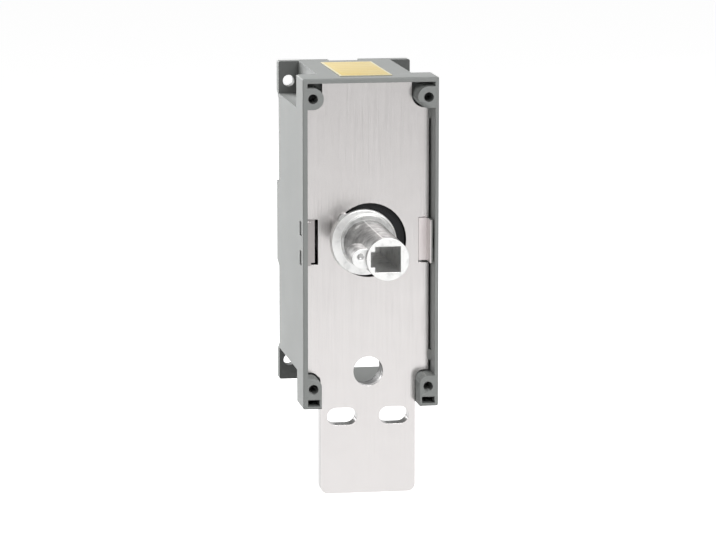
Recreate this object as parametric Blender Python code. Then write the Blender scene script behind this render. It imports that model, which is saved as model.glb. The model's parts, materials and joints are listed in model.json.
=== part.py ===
"""Mechanical interlock for a pair of switches: an open-backed case with a steel plate and a turning hub.

Metres, +Z up, the front looks along -Y. The origin is on the hub's axis, in the plane of the case's rear ears.
"""

import math

import bmesh
import bpy

# Case
WIDTH = 0.066
HEIGHT = 0.160
DEPTH = 0.089
EDGE_ROUND = 0.0007
WALL = 0.0025
FRAME_DEPTH = 0.021
FRAME_WALL = 0.0023
NOTCH_WIDTH = 0.010
NOTCH_HEIGHT = 0.016
LEDGE = 0.0023
LEDGE_DEPTH = 0.0064

# Rear ears and pads
EAR_THICKNESS = 0.007
EAR_WIDTH = 0.0254
EAR_HEIGHT = 0.0146
EAR_SLOPE = 0.0040
PAD_HALF_HEIGHT = 0.0198
PAD_SLOPE = 0.0026
EAR_HOLE_RADIUS = 0.0029
LIP_HEIGHT = 0.0061
LIP_THICKNESS = 0.0020

# Corner bosses of the front frame
SCREW_INSET = 0.0050
SCREW_DROP = 0.0097
BOSS_RADIUS = 0.0052
BOSS_HOLE_RADIUS = 0.00235
BOSS_HOLE_DEPTH = 0.0140
LOWER_BOSS_WIDTH = 0.0090
LOWER_BOSS_ROUND = 0.0040
POCKET_WALL = 0.0010
POCKET_BASE = 0.0014
POCKET_HEIGHT = 0.0032
POCKET_DEPTH = 0.0150

# Front plate
PLATE_RECESS = 0.012
PLATE_THICKNESS = 0.004
PLATE_DROP = 0.0424
PLATE_CORNER = 0.0037
PLATE_RELIEF = 0.0009
TAIL_CLEARANCE = 0.0006
OPENING_SHARE = 0.5636
OPENING_OFFSET = 0.0006
OPENING_DROP = 0.0003
SLOT_HEIGHT = 0.0088
SLOT_MIDDLE_GAP = 0.0109
SLOT_END_GAP = 0.00335
SLOT_DROP = 0.0054

# Port for the neighbour's locking rod
PORT_RADIUS = 0.0075
PORT_FLOOR_GAP = 0.0017
PORT_WALL_MARGIN = 0.0018
BUSH_RELIEF = 0.0008
BUSH_WALL = 0.0013
BUSH_OVERHANG = 0.0020
PORT_RING_WALL = 0.0022
PORT_RING_LIP = 0.0012

# Side clips and catches
CLIP_HALF_HEIGHT = 0.0104
CLIP_THICKNESS = 0.0016
CLIP_RECESS = 0.0025
CLIP_NOTCH = 0.0048
CLIP_FOOT_LEFT = 0.0033
CLIP_FOOT_RIGHT = 0.0045
CLIP_TOP_GAP = 0.0003
CLIP_LOWER_GAP = 0.0009
HOOK_HEIGHT = 0.0064
HOOK_SPACING = 0.0142
HOOK_RECESS = 0.0047
HOOK_DEPTH = 0.0060
HOOK_SHY = 0.0004
UPPER_CATCH_PLACE = 0.0615
LOWER_CATCH_PLACE = 0.0565
CATCH_LENGTH = 0.0050
CATCH_REACH = 0.0010
CATCH_RAMP = 0.0035
CATCH_LAND = 0.0004

# Hub
HUB_REACH = 0.0485
STEM_RADIUS = 0.0099
STEM_DRAFT = 0.0005
STEM_EDGE = 0.0005
SOCKET_SIDE = 0.0122
SOCKET_DEPTH = 0.058
KEYWAY_DEPTH = 0.0018
KEYWAY_HEIGHT = 0.0071
LOBE_RADIUS = 0.0045
LOBE_OFFSET = 0.0123
LOBE_DROP = 0.0016
LOBE_SHY = 0.0075
LOBE_WEB = 0.0050
DIMPLE_RADIUS = 0.0013
DIMPLE_DEPTH = 0.0010
FLANGE_RADIUS = 0.0161
FLANGE_OFFSET = 0.0022
FLANGE_DROP = 0.0015
FLANGE_THICKNESS = 0.0030
FLANGE_EDGE = 0.0008
STEP_RADIUS = 0.0136
STEP_THICKNESS = 0.0014
STEP_EDGE = 0.0005
JOURNAL_RADIUS = 0.013
SPIGOT_SIDE = 0.013
TAIL_RADIUS = 0.006
DOG_SIDE = 0.008

# Bearing ring in the plate's opening
RING_FLANGE_RADIUS = 0.0205
RING_FLANGE_THICKNESS = 0.0020
RING_EDGE = 0.0012
RING_SHY = 0.0012
RING_STEP = 0.0012
RING_STEP_WIDTH = 0.0016

# Cam rotor
ROTOR_RADIUS = 0.023
ROTOR_SIDE_GAP = 0.0005
ROTOR_THICKNESS = 0.0124
GROOVE_START_RADIUS = 0.011
LIFT = 0.008
TURN = math.radians(90)
PIN_RADIUS = 0.0025
GROOVE_DEPTH = 0.0045

# Lock slide
SLIDE_GAP = 0.0005
SLIDE_THICKNESS = 0.003
SLIDE_WIDTH = 0.022
SLIDE_TIP_GAP = 0.0012
SLIDE_TOP = 0.027
SLIDE_TIP_CHAMFER = 0.0030
SLIDE_SLOT_CLEARANCE = 0.0005
LUG_THICKNESS = 0.002
LUG_WIDTH = 0.010
LUG_REACH = 0.0045

# Carrier plate and what is fixed to it
CARRIER_THICKNESS = 0.002
CARRIER_SIDE_GAP = 0.0007
CARRIER_HALF_HEIGHT = 0.052
CARRIER_CHAMFER = 0.004
WINDOW_HALF_WIDTH = 0.006
WINDOW_FOOT = 0.015
TAB_EDGE = 0.0067
TAB_THICKNESS = 0.002
TAB_WIDTH = 0.012
POST_RADIUS = 0.0038
POST_INSET = 0.007
POST_EDGE = 0.006
POST_HOLE_DEPTH = 0.009
SCREW_RADIUS = 0.0015
SCREW_HEAD_RADIUS = 0.0033
SCREW_HEAD_HEIGHT = 0.0020
SCREW_GRIP = 0.0075
SCREW_EDGE_SHARE = 0.25
DRIVE_SLOT_WIDTH = 0.0008
DRIVE_SLOT_DEPTH = 0.0009
RAIL_WIDTH = 0.0042
RAIL_TOP = 0.024
RAIL_SHY = 0.005
RAIL_LIP = 0.0028
RAIL_LIP_TOP = 0.026
RAIL_LIP_THICKNESS = 0.0022
RIVET_RADIUS = 0.0012
RIVET_HEAD_RADIUS = 0.0021
RIVET_HEAD_HEIGHT = 0.0010
RIVET_PLACE = 0.018
RIVET_EDGE = 0.006

# Rear bearing and coupler
REAR_BUSH_WALL = 0.0016
REAR_BUSH_FLANGE_RADIUS = 0.0092
REAR_BUSH_FLANGE = 0.0015
WASHER_RADIUS = 0.0100
WASHER_THICKNESS = 0.0010
COUPLER_RADIUS = 0.013
COUPLER_LENGTH = 0.0128
COUPLER_SLOT_WIDTH = 0.0062
COUPLER_SLOT_DEPTH = 0.0060
COUPLER_SCREW_RADIUS = 0.002
COUPLER_SCREW_HEAD_RADIUS = 0.0042
COUPLER_SCREW_HEAD_HEIGHT = 0.0028
COUPLER_SCREW_GRIP = 0.009

# Lock spring and its guide pin
SPRING_WIRE_RADIUS = 0.0005
SPRING_RADIUS = 0.0032
SPRING_TURNS = 7
SPRING_STEPS_PER_TURN = 14
SPRING_END_SHARE = 0.3
SPRING_BEVEL_STEPS = 1
SPRING_PIN_RADIUS = 0.0018
SPRING_PIN_HEAD_RADIUS = 0.0034
SPRING_PIN_HEAD_HEIGHT = 0.0014
SPRING_PIN_GAP = 0.0043

# Label on the top face
LABEL_WIDTH = 0.026
LABEL_FRONT = 0.014
LABEL_BACK = 0.080
LABEL_THICKNESS = 0.0003
LABEL_GAP = 0.0001
LABEL_CORNER = 0.0012

# Clearances
GAP = 0.0003
OVERRUN = 0.001

# How finely round shapes are cut
ROUND_SIDES = 40
SMALL_SIDES = 20
ARC_STEPS = 10
EDGE_STEPS = 2
EDGE_PROFILE_SHARE = 0.5
SMOOTH_ANGLE = math.radians(30)

# Places that follow from the sizes above
HALF_W = WIDTH / 2
HALF_H = HEIGHT / 2
OPENING_RADIUS = HALF_W * OPENING_SHARE
PORT_BORE = PORT_RADIUS + BUSH_RELIEF
PORT_BUSH_RADIUS = PORT_BORE + BUSH_WALL
PORT_RING_RADIUS = PORT_BUSH_RADIUS + GAP + PORT_RING_WALL
PORT_DROP = HALF_H - WALL - PORT_RING_RADIUS - PORT_FLOOR_GAP
SLIDE_TIP = PORT_DROP - PORT_RADIUS - SLIDE_TIP_GAP
RAIL_FOOT = SLIDE_TIP - RAIL_SHY
RIVET_LOW_PLACE = RAIL_FOOT - RIVET_EDGE
CARRIER_HALF_WIDTH = HALF_W - WALL - CARRIER_SIDE_GAP
TAB_PLACE = CARRIER_HALF_HEIGHT - TAB_EDGE
POST_PLACE_X = HALF_W - POST_INSET
POST_PLACE_Z = CARRIER_HALF_HEIGHT - POST_EDGE
FRONT_Y = -DEPTH
FRAME_BACK_Y = FRONT_Y + FRAME_DEPTH
EAR_FRONT_Y = -EAR_THICKNESS
PLATE_FRONT_Y = FRONT_Y + PLATE_RECESS
PLATE_BACK_Y = PLATE_FRONT_Y + PLATE_THICKNESS
LEDGE_FRONT_Y = PLATE_BACK_Y + GAP
LEDGE_BACK_Y = LEDGE_FRONT_Y + LEDGE_DEPTH
RECESS_X = HALF_W - FRAME_WALL
RECESS_Z = HALF_H - FRAME_WALL
SCREW_X = HALF_W - SCREW_INSET
SCREW_Z = HALF_H - SCREW_DROP
LOWER_BOSS_X = HALF_W - LOWER_BOSS_WIDTH
LOWER_BOSS_TOP_Z = SCREW_Z - BOSS_RADIUS
PLATE_X = RECESS_X - GAP
PLATE_TOP_Z = RECESS_Z - GAP
PLATE_BOTTOM_Z = -HALF_H - PLATE_DROP
TAIL_X = LOWER_BOSS_X - TAIL_CLEARANCE
SLOT_LENGTH = TAIL_X - SLOT_END_GAP - SLOT_MIDDLE_GAP / 2
SLOT_PLACE = (SLOT_LENGTH + SLOT_MIDDLE_GAP) / 2
CLIP_X = RECESS_X - GAP
NOTCH_X = CLIP_X - CLIP_THICKNESS - CLIP_NOTCH
FLANGE_BACK_Y = PLATE_FRONT_Y - GAP
FLANGE_FRONT_Y = FLANGE_BACK_Y - FLANGE_THICKNESS
STEP_FRONT_Y = FLANGE_FRONT_Y - STEP_THICKNESS
HUB_FRONT_Y = FRONT_Y - HUB_REACH
RING_FLANGE_BACK_Y = LEDGE_FRONT_Y + RING_FLANGE_THICKNESS
ROTOR_FRONT_Y = RING_FLANGE_BACK_Y + GAP
ROTOR_BACK_Y = ROTOR_FRONT_Y + ROTOR_THICKNESS
JOURNAL_BACK_Y = LEDGE_BACK_Y
SLIDE_FRONT_Y = ROTOR_BACK_Y + SLIDE_GAP
SLIDE_BACK_Y = SLIDE_FRONT_Y + SLIDE_THICKNESS
CARRIER_FRONT_Y = SLIDE_BACK_Y + GAP
CARRIER_BACK_Y = CARRIER_FRONT_Y + CARRIER_THICKNESS
BUSH_FLANGE_FRONT_Y = CARRIER_BACK_Y + GAP
BUSH_FLANGE_BACK_Y = BUSH_FLANGE_FRONT_Y + REAR_BUSH_FLANGE
WASHER_FRONT_Y = BUSH_FLANGE_BACK_Y + GAP
WASHER_BACK_Y = WASHER_FRONT_Y + WASHER_THICKNESS
COUPLER_FRONT_Y = WASHER_BACK_Y + GAP
COUPLER_BACK_Y = COUPLER_FRONT_Y + COUPLER_LENGTH
COUPLER_SEAT_Y = COUPLER_BACK_Y - COUPLER_SLOT_DEPTH
DOG_BACK_Y = COUPLER_SEAT_Y - GAP
SPRING_Y = (CARRIER_FRONT_Y + CARRIER_BACK_Y) / 2

BODY_GREY = (0.47, 0.48, 0.46)
STEEL = (0.80, 0.79, 0.78)
ZINC = (0.83, 0.83, 0.82)
BLACK = (0.03, 0.03, 0.03)
CLIP_GREY = (0.55, 0.53, 0.52)
BRONZE = (0.60, 0.44, 0.24)
YELLOW = (0.90, 0.72, 0.20)


def clear_scene():
    """Remove every object, so that the script can be run again in one file."""
    for obj in list(bpy.data.objects):
        bpy.data.objects.remove(obj, do_unlink=True)


def finish_of(name, colour, roughness, metallic):
    """A Principled material of one colour."""
    material = bpy.data.materials.new(name)
    material.use_nodes = True
    shader = material.node_tree.nodes["Principled BSDF"]
    shader.inputs["Base Color"].default_value = (*colour, 1.0)
    shader.inputs["Roughness"].default_value = roughness
    shader.inputs["Metallic"].default_value = metallic
    material.diffuse_color = (*colour, 1.0)
    return material


def place_mesh(name, bm):
    """Make an object of a closed bmesh, with its faces pointing out and its round faces smooth."""
    bmesh.ops.recalc_face_normals(bm, faces=bm.faces)
    mesh = bpy.data.meshes.new(name)
    bm.to_mesh(mesh)
    bm.free()
    mesh.shade_smooth()
    mesh.set_sharp_from_angle(angle=SMOOTH_ANGLE)
    obj = bpy.data.objects.new(name, mesh)
    bpy.context.scene.collection.objects.link(obj)
    return obj


def dress(obj, colour, roughness=0.5, metallic=0.0):
    """Give an object its own material."""
    obj.data.materials.append(finish_of(obj.name, colour, roughness, metallic))
    return obj


def box(name, x_span, y_span, z_span):
    """A box between two values on each axis."""
    bm = bmesh.new()
    corners = bmesh.ops.create_cube(bm, size=1.0)["verts"]
    for vert in corners:
        for axis, span in enumerate((x_span, y_span, z_span)):
            vert.co[axis] = max(span) if vert.co[axis] > 0 else min(span)
    return place_mesh(name, bm)


def prism(name, outline, low, high, axis="Y"):
    """A flat outline drawn straight along one axis: (x, z) points for Y, (y, z) for X, (x, y) for Z."""
    turned = {
        "X": lambda u, v, depth: (depth, u, v),
        "Y": lambda u, v, depth: (u, depth, v),
        "Z": lambda u, v, depth: (u, v, depth),
    }[axis]
    bm = bmesh.new()
    face = bm.faces.new([bm.verts.new(turned(u, v, low)) for u, v in outline])
    moved = bmesh.ops.extrude_face_region(bm, geom=[face])["geom"]
    shift = turned(0.0, 0.0, high - low)
    bmesh.ops.translate(bm, verts=[v for v in moved if isinstance(v, bmesh.types.BMVert)], vec=shift)
    return place_mesh(name, bm)


def ring_points(centre_x, centre_z, radius, start=0.0, end=360.0, steps=ROUND_SIDES):
    """Points on an arc in degrees. A whole circle leaves out the repeated last point."""
    whole = end - start == 360.0
    count = steps if whole else steps + 1
    turns = [math.radians(start + (end - start) * k / steps) for k in range(count)]
    return [(centre_x + radius * math.cos(a), centre_z + radius * math.sin(a)) for a in turns]


def turned_shape(name, profile, centre=(0.0, 0.0), sides=ROUND_SIDES):
    """A closed profile of (radius, y) points spun round a line along Y through centre."""
    bm = bmesh.new()
    rings = []
    for radius, y in profile:
        if radius == 0.0:
            rings.append([bm.verts.new((centre[0], y, centre[1]))])
            continue
        circle = ring_points(centre[0], centre[1], radius, steps=sides)
        rings.append([bm.verts.new((x, y, z)) for x, z in circle])
    for ring, following in zip(rings, rings[1:] + rings[:1]):
        join_rings(bm, ring, following)
    return place_mesh(name, bm)


def join_rings(bm, ring, following):
    """Faces between two rings of a turned shape, either of which may be a single point on the axis."""
    count = max(len(ring), len(following))
    if count == 1:
        return
    for k in range(count):
        ahead = (k + 1) % count
        if len(ring) == 1:
            bm.faces.new((ring[0], following[ahead], following[k]))
        elif len(following) == 1:
            bm.faces.new((ring[k], ring[ahead], following[0]))
        else:
            bm.faces.new((ring[k], ring[ahead], following[ahead], following[k]))


def rod(name, radius, low, high, centre=(0.0, 0.0), sides=ROUND_SIDES):
    """A plain cylinder along Y."""
    return prism(name, ring_points(centre[0], centre[1], radius, steps=sides), low, high)


def tube(name, bore, radius, low, high, centre=(0.0, 0.0), sides=ROUND_SIDES):
    """A plain ring along Y."""
    return turned_shape(name, [(bore, low), (radius, low), (radius, high), (bore, high)], centre, sides)


def helper(obj):
    """Mark an object as a tool of a Boolean, which isn't part of the model."""
    obj.hide_render = True
    obj.display_type = "WIRE"
    return obj


def combine(obj, other, operation):
    """Add a Boolean that takes another object away from this one, or joins it on."""
    modifier = obj.modifiers.new(other.name, "BOOLEAN")
    modifier.operation = operation
    modifier.object = helper(other)
    return obj


def cut(obj, *others):
    """Take each of the other objects away."""
    for other in others:
        combine(obj, other, "DIFFERENCE")
    return obj


def join(obj, *others):
    """Join each of the other objects on."""
    for other in others:
        combine(obj, other, "UNION")
    return obj


def sided(sign, near, far):
    """A span on one side of the middle plane."""
    return (sign * near, sign * far)


def corners():
    """The four corners of the case as (name, side, height) with signs."""
    return [
        ("upper_left", -1, 1),
        ("upper_right", 1, 1),
        ("lower_left", -1, -1),
        ("lower_right", 1, -1),
    ]


def cross_outline(half_width, half_height, step_x, step_z, foot=None):
    """A rectangle without its four corners. With a foot, its lower arm is cut off straight there."""
    upper = [
        (-half_width, step_z),
        (-step_x, step_z),
        (-step_x, half_height),
        (step_x, half_height),
        (step_x, step_z),
        (half_width, step_z),
    ]
    if foot is not None:
        return upper + [(half_width, foot), (-half_width, foot)]
    return upper + [(x, -z) for x, z in reversed(upper)]


def mirrored(right_side):
    """An outline's right side, from top to bottom, with its mirror image on the left."""
    return right_side + [(-x, z) for x, z in reversed(right_side)]


def recess_outline():
    """The front frame's opening: it goes round the bosses, and is open downwards between the lower two."""
    right_side = [
        (RECESS_X, RECESS_Z),
        (RECESS_X, SCREW_Z + BOSS_RADIUS),
        *ring_points(SCREW_X, SCREW_Z, BOSS_RADIUS, 90, 270, ARC_STEPS * 2),
        (RECESS_X, SCREW_Z - BOSS_RADIUS),
        (RECESS_X, -LOWER_BOSS_TOP_Z),
        *ring_points(
            LOWER_BOSS_X + LOWER_BOSS_ROUND,
            -LOWER_BOSS_TOP_Z - LOWER_BOSS_ROUND,
            LOWER_BOSS_ROUND,
            90,
            180,
            ARC_STEPS,
        ),
        (LOWER_BOSS_X, -HALF_H - OVERRUN),
    ]
    return mirrored(right_side)


def case_block():
    """The outer block of the case, with its long edges and the edges of its front face rounded."""
    bm = bmesh.new()
    for vert in bmesh.ops.create_cube(bm, size=1.0)["verts"]:
        vert.co.x = math.copysign(HALF_W, vert.co.x)
        vert.co.y = FRONT_Y if vert.co.y < 0 else 0.0
        vert.co.z = math.copysign(HALF_H, vert.co.z)
    rounded = [e for e in bm.edges if min(v.co.y for v in e.verts) < -DEPTH / 2]
    bmesh.ops.bevel(
        bm, geom=rounded, offset=EDGE_ROUND, segments=EDGE_STEPS, profile=EDGE_PROFILE_SHARE, affect="EDGES"
    )
    return place_mesh("housing", bm)


def cut_case_outside(housing):
    """Cut the corner notches, and clear the rear edge between the ears and the pads."""
    for name, side, up in corners():
        notch = box(
            f"notch_{name}",
            sided(side, HALF_W - NOTCH_WIDTH, HALF_W + OVERRUN),
            (FRAME_BACK_Y, EAR_FRONT_Y),
            sided(up, HALF_H - NOTCH_HEIGHT, HALF_H + OVERRUN),
        )
        cut(housing, notch)
    ear_foot = HALF_H - EAR_HEIGHT
    upper_gap = [
        (EAR_FRONT_Y, PAD_HALF_HEIGHT),
        (EAR_FRONT_Y, ear_foot - EAR_SLOPE),
        (0.0, ear_foot),
        (OVERRUN, ear_foot),
        (OVERRUN, PAD_HALF_HEIGHT),
    ]
    lower_gap = [
        (EAR_FRONT_Y, -PAD_HALF_HEIGHT - PAD_SLOPE),
        (0.0, -PAD_HALF_HEIGHT),
        (OVERRUN, -PAD_HALF_HEIGHT),
        (OVERRUN, -ear_foot),
        (0.0, -ear_foot),
        (EAR_FRONT_Y, -ear_foot + EAR_SLOPE),
    ]
    reach = HALF_W + OVERRUN
    cut(housing, prism("gap_over_pads", upper_gap, -reach, reach, "X"))
    cut(housing, prism("gap_under_pads", lower_gap, -reach, reach, "X"))
    between_ears = HALF_W - EAR_WIDTH
    for name, up in (("top", 1), ("bottom", -1)):
        gap = box(
            f"gap_{name}",
            (-between_ears, between_ears),
            (EAR_FRONT_Y, OVERRUN),
            sided(up, ear_foot - EAR_SLOPE, HALF_H + OVERRUN),
        )
        cut(housing, gap)


def cut_case_inside(housing):
    """Hollow the case: the frame's recess, the ledge behind the plate, and the open-backed body."""
    inner_x = HALF_W - WALL
    inner_z = HALF_H - WALL
    step_x = HALF_W - NOTCH_WIDTH - WALL
    step_z = HALF_H - NOTCH_HEIGHT - WALL
    recess = prism("recess", recess_outline(), FRONT_Y - OVERRUN, LEDGE_FRONT_Y)
    port_wall_top = -PORT_DROP + PORT_BUSH_RADIUS + GAP + PORT_WALL_MARGIN
    ledge_outline = cross_outline(
        inner_x - LEDGE, inner_z - LEDGE, step_x - LEDGE, step_z - LEDGE, foot=port_wall_top
    )
    ledge = prism("ledge_opening", ledge_outline, LEDGE_FRONT_Y - OVERRUN, LEDGE_BACK_Y + OVERRUN)
    body_outline = cross_outline(inner_x, inner_z, step_x, step_z)
    cavity = prism("cavity", body_outline, LEDGE_BACK_Y, OVERRUN)
    rotor_room = rod("rotor_room", ROTOR_RADIUS + ROTOR_SIDE_GAP, LEDGE_FRONT_Y, LEDGE_BACK_Y + OVERRUN)
    port = rod(
        "port_hole",
        PORT_BUSH_RADIUS + GAP,
        LEDGE_FRONT_Y - OVERRUN,
        LEDGE_BACK_Y + OVERRUN,
        (0.0, -PORT_DROP),
    )
    cut(housing, recess, ledge, cavity, join(port, rotor_room))


def hook_centres():
    """Heights of the two hooks of a side clip."""
    return (HOOK_SPACING / 2, -HOOK_SPACING / 2)


def cut_case_holes(housing):
    """Drill the bosses and the ears, and cut the pockets and the windows for the side clips' hooks."""
    for name, side, up in corners():
        centre = (side * SCREW_X, up * SCREW_Z)
        boss_hole = rod(
            f"boss_hole_{name}",
            BOSS_HOLE_RADIUS,
            FRONT_Y - OVERRUN,
            FRONT_Y + BOSS_HOLE_DEPTH,
            centre,
            SMALL_SIDES,
        )
        ear_hole = rod(f"ear_hole_{name}", EAR_HOLE_RADIUS, EAR_FRONT_Y - OVERRUN, OVERRUN, centre, SMALL_SIDES)
        cut(housing, boss_hole, ear_hole)
    for name, side in (("left", -1), ("right", 1)):
        pocket = box(
            f"pocket_{name}",
            sided(side, LOWER_BOSS_X + POCKET_WALL, RECESS_X),
            (FRONT_Y - OVERRUN, FRONT_Y + POCKET_DEPTH),
            (-HALF_H + POCKET_BASE, -HALF_H + POCKET_BASE + POCKET_HEIGHT),
        )
        cut(housing, pocket)
        for number, centre_z in enumerate(hook_centres()):
            half = HOOK_HEIGHT / 2 + GAP
            window = box(
                f"hook_window_{name}_{number}",
                sided(side, RECESS_X - OVERRUN, HALF_W + OVERRUN),
                (FRONT_Y + HOOK_RECESS - GAP, FRONT_Y + HOOK_RECESS + HOOK_DEPTH + GAP),
                (centre_z - half, centre_z + half),
            )
            cut(housing, window)


def add_case_inside(housing):
    """Join on the screw posts, the catches that hold the plate, and the lip of the bottom wall."""
    inner_x = HALF_W - WALL
    post_y = (LEDGE_BACK_Y - GAP, CARRIER_FRONT_Y - GAP)
    for name, side, up in corners():
        centre = (side * POST_PLACE_X, up * POST_PLACE_Z)
        post = rod(f"post_{name}", POST_RADIUS, *post_y, centre, SMALL_SIDES)
        web = box(
            f"post_web_{name}",
            sided(side, POST_PLACE_X, inner_x + GAP),
            post_y,
            (centre[1] - POST_RADIUS, centre[1] + POST_RADIUS),
        )
        join(housing, join(post, web))
        hole = rod(
            f"post_hole_{name}",
            SCREW_RADIUS + GAP,
            post_y[1] - POST_HOLE_DEPTH,
            post_y[1] + OVERRUN,
            centre,
            SMALL_SIDES,
        )
        cut(housing, hole)
        catch_outline = [
            (side * (RECESS_X + GAP), PLATE_FRONT_Y - GAP),
            (side * (RECESS_X - CATCH_REACH), PLATE_FRONT_Y - GAP),
            (side * (RECESS_X - CATCH_REACH), PLATE_FRONT_Y - GAP - CATCH_LAND),
            (side * (RECESS_X + GAP), PLATE_FRONT_Y - GAP - CATCH_LAND - CATCH_RAMP),
        ]
        catch_z = UPPER_CATCH_PLACE if up > 0 else -LOWER_CATCH_PLACE
        catch = prism(
            f"catch_{name}", catch_outline, catch_z - CATCH_LENGTH / 2, catch_z + CATCH_LENGTH / 2, "Z"
        )
        join(housing, catch)
    lip_half = HALF_W - NOTCH_WIDTH - WALL + GAP
    lip = box(
        "rear_lip",
        (-lip_half, lip_half),
        (EAR_FRONT_Y - LIP_THICKNESS, EAR_FRONT_Y),
        (-HALF_H + WALL - GAP, -HALF_H + LIP_HEIGHT),
    )
    join(housing, lip)


def build_housing():
    """The moulded case, in one piece: frame, bosses, body, ears, pads, posts and catches."""
    housing = case_block()
    cut_case_outside(housing)
    cut_case_inside(housing)
    add_case_inside(housing)
    cut_case_holes(housing)
    return dress(housing, BODY_GREY, 0.55)


def slot_outline(centre_x, centre_z, length, height):
    """A slot with round ends, lying along X."""
    reach = (length - height) / 2
    right = ring_points(centre_x + reach, centre_z, height / 2, -90, 90, ARC_STEPS)
    left = ring_points(centre_x - reach, centre_z, height / 2, 90, 270, ARC_STEPS)
    return right + left


def build_front_plate():
    """The steel plate: it fills the frame, clears the bosses, and its tail hangs out below with two slots."""
    relief = BOSS_RADIUS + PLATE_RELIEF
    shoulder_z = -LOWER_BOSS_TOP_Z + PLATE_RELIEF
    shoulder_round = LOWER_BOSS_ROUND + TAIL_CLEARANCE
    right_side = [
        (SCREW_X - relief, PLATE_TOP_Z),
        *ring_points(SCREW_X, SCREW_Z, relief, 180, 270, ARC_STEPS),
        (PLATE_X, SCREW_Z - relief),
        (PLATE_X, shoulder_z),
        *ring_points(TAIL_X + shoulder_round, shoulder_z - shoulder_round, shoulder_round, 90, 180, ARC_STEPS),
        *ring_points(TAIL_X - PLATE_CORNER, PLATE_BOTTOM_Z + PLATE_CORNER, PLATE_CORNER, 0, -90, ARC_STEPS),
    ]
    plate = prism("front_plate", mirrored(right_side), PLATE_FRONT_Y, PLATE_BACK_Y)
    through = (PLATE_FRONT_Y - OVERRUN, PLATE_BACK_Y + OVERRUN)
    cut(plate, rod("plate_opening", OPENING_RADIUS, *through, (OPENING_OFFSET, -OPENING_DROP)))
    cut(plate, rod("plate_port", PORT_RADIUS, *through, (0.0, -PORT_DROP)))
    for name, side in (("left", -1), ("right", 1)):
        cut(
            plate,
            box(
                f"plate_notch_{name}",
                sided(side, NOTCH_X, HALF_W),
                through,
                (-CLIP_HALF_HEIGHT - CLIP_LOWER_GAP, CLIP_HALF_HEIGHT + CLIP_TOP_GAP),
            ),
        )
        slot = slot_outline(side * SLOT_PLACE, -HALF_H - SLOT_DROP, SLOT_LENGTH, SLOT_HEIGHT)
        cut(plate, prism(f"plate_slot_{name}", slot, *through))
    return dress(plate, STEEL, 0.35, 1.0)


def build_side_clip(name, side, foot_width):
    """A moulded clip: its leg lies on the frame's wall, its hooks catch in the wall, its foot fills the notch."""
    leg = box(
        f"side_clip_{name}",
        sided(side, CLIP_X - CLIP_THICKNESS, CLIP_X),
        (FRONT_Y + CLIP_RECESS, PLATE_BACK_Y - GAP),
        (-CLIP_HALF_HEIGHT, CLIP_HALF_HEIGHT),
    )
    foot = box(
        f"clip_foot_{name}",
        sided(side, CLIP_X - CLIP_THICKNESS - foot_width, CLIP_X - CLIP_THICKNESS / 2),
        (PLATE_FRONT_Y + GAP, PLATE_BACK_Y - GAP),
        (-CLIP_HALF_HEIGHT, CLIP_HALF_HEIGHT),
    )
    join(leg, foot)
    for number, centre_z in enumerate(hook_centres()):
        hook = box(
            f"clip_hook_{name}_{number}",
            sided(side, CLIP_X - CLIP_THICKNESS / 2, HALF_W - HOOK_SHY),
            (FRONT_Y + HOOK_RECESS, FRONT_Y + HOOK_RECESS + HOOK_DEPTH),
            (centre_z - HOOK_HEIGHT / 2, centre_z + HOOK_HEIGHT / 2),
        )
        join(leg, hook)
    return dress(leg, CLIP_GREY, 0.5)


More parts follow.
